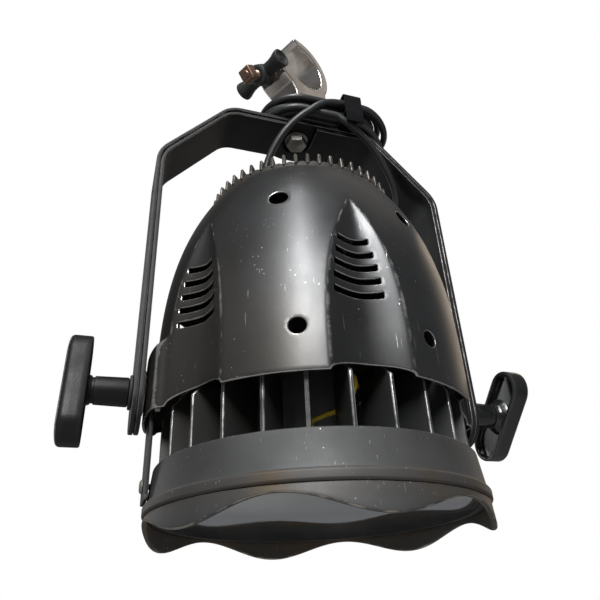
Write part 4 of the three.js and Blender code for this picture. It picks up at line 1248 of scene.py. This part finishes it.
def mounting():
    under, up = (0, 0, FOOT - BAR_THICK), (0, 0, 1)
    washer = [(-2.3, 6.4), (-2.3, 11.4), (-1.9, 12), (-0.7, 12), (-0.3, 11.4), (-0.3, 6.4)]
    shape = turned(washer, under, up, 56)
    piece("plate_washer", [shape], ZINC, "clamp", ["mounting_washer"])
    hexagon = [(-10, 0), (-10, 8.4), (-9.6, 9.4), (-8.9, 10.6), (-8.2, 11), (-2.6, 11), (-2.6, 0)]
    nut = swivelled_turned(hexagon, under, up, 6)
    shank = turned([(-2.6, 0), (-2.6, 5.9), (24, 5.9), (24.6, 5.4), (24.6, 0)], under, up, 36)
    mark = turned([(-10.25, 0), (-10.25, 2.6), (-10.1, 3), (-9.9, 3)], under, up, 24)
    piece("plate_bolt", [nut, shank, mark], ZINC, "clamp", ["mounting_bolt"], 25)


hook()
clamp_screw()
mounting()

# ---- stage ----

FLOOR_HALF = 6.0
FLOOR_DEPTH = -1.7


def stage():
    floor = bpy.data.meshes.new("floor")
    corners = rectangle(-FLOOR_HALF, -FLOOR_HALF, FLOOR_HALF, FLOOR_HALF)
    floor.from_pydata([(x, y, FLOOR_DEPTH) for x, y in corners], [], [(0, 1, 2, 3)])
    pale = Finish("pale_floor", 0.8)
    pale.link(pale.mix(pale.noise(3.0), (0.82, 0.82, 0.81), (0.88, 0.88, 0.87)), "Base Color")
    seen_directly = pale.add("ShaderNodeLightPath").outputs["Is Camera Ray"]
    pale.shader.inputs["Emission Color"].default_value = (0.9, 0.9, 0.89, 1)
    pale.link(pale.math("MULTIPLY", seen_directly, 0.5), "Emission Strength")
    floor.materials.append(pale.material)
    linked("floor", floor)

    world = bpy.data.worlds.new("room")
    bpy.context.scene.world = world
    world.use_nodes = True
    tree = world.node_tree
    seen = tree.nodes.new("ShaderNodeBackground")
    seen.inputs["Color"].default_value = (1, 1, 1, 1)
    lit = tree.nodes["Background"]
    lit.inputs["Color"].default_value = (0.93, 0.95, 1.0, 1)
    lit.inputs["Strength"].default_value = 0.14
    ray = tree.nodes.new("ShaderNodeLightPath")
    mix = tree.nodes.new("ShaderNodeMixShader")
    tree.links.new(ray.outputs["Is Camera Ray"], mix.inputs["Fac"])
    tree.links.new(lit.outputs["Background"], mix.inputs[1])
    tree.links.new(seen.outputs["Background"], mix.inputs[2])
    tree.links.new(mix.outputs["Shader"], tree.nodes["World Output"].inputs["Surface"])

    bpy.context.scene.view_settings.view_transform = "Standard"


def lamp(name, azimuth, elevation, distance, width, height, watts, colour=(1, 1, 1), target=None):
    """A rectangular lamp aimed at the middle of the object, or at a target height in metres."""
    data = bpy.data.lights.new(name, "AREA")
    data.shape = "RECTANGLE"
    data.size, data.size_y = width, height
    data.energy = watts
    data.color = colour
    obj = linked(name, data)
    a, e = math.radians(azimuth), math.radians(elevation)
    aim = Vector((0, 0, (CAD_BOX[0].z + CAD_BOX[1].z) / 2 if target is None else target))
    toward = Vector((math.sin(a) * math.cos(e), -math.cos(a) * math.cos(e), math.sin(e)))
    obj.location = aim + toward * distance
    obj.rotation_euler = toward.to_track_quat("Z", "Y").to_euler()


stage()
lamp("tube_low", -21, 26, 1.7, 0.21, 0.7, 26)
lamp("tube_middle", -21, 45, 1.7, 0.2, 0.6, 10)
lamp("tube_high", -24, 64, 1.7, 0.2, 0.6, 3.9)
lamp("left_soft", -50, 30, 1.9, 0.9, 1.2, 1.3, (0.94, 0.97, 1.0))
lamp("warm_rim", 118, 16, 1.8, 0.5, 1.5, 3.4, (1.0, 0.82, 0.62))
lamp("left_rim", -142, 12, 1.8, 0.25, 1.5, 4, (0.97, 0.98, 1.0))
lamp("clamp_glow", 74, 50, 0.5, 0.34, 0.5, 0.13, (1.0, 0.88, 0.76), 0.0)
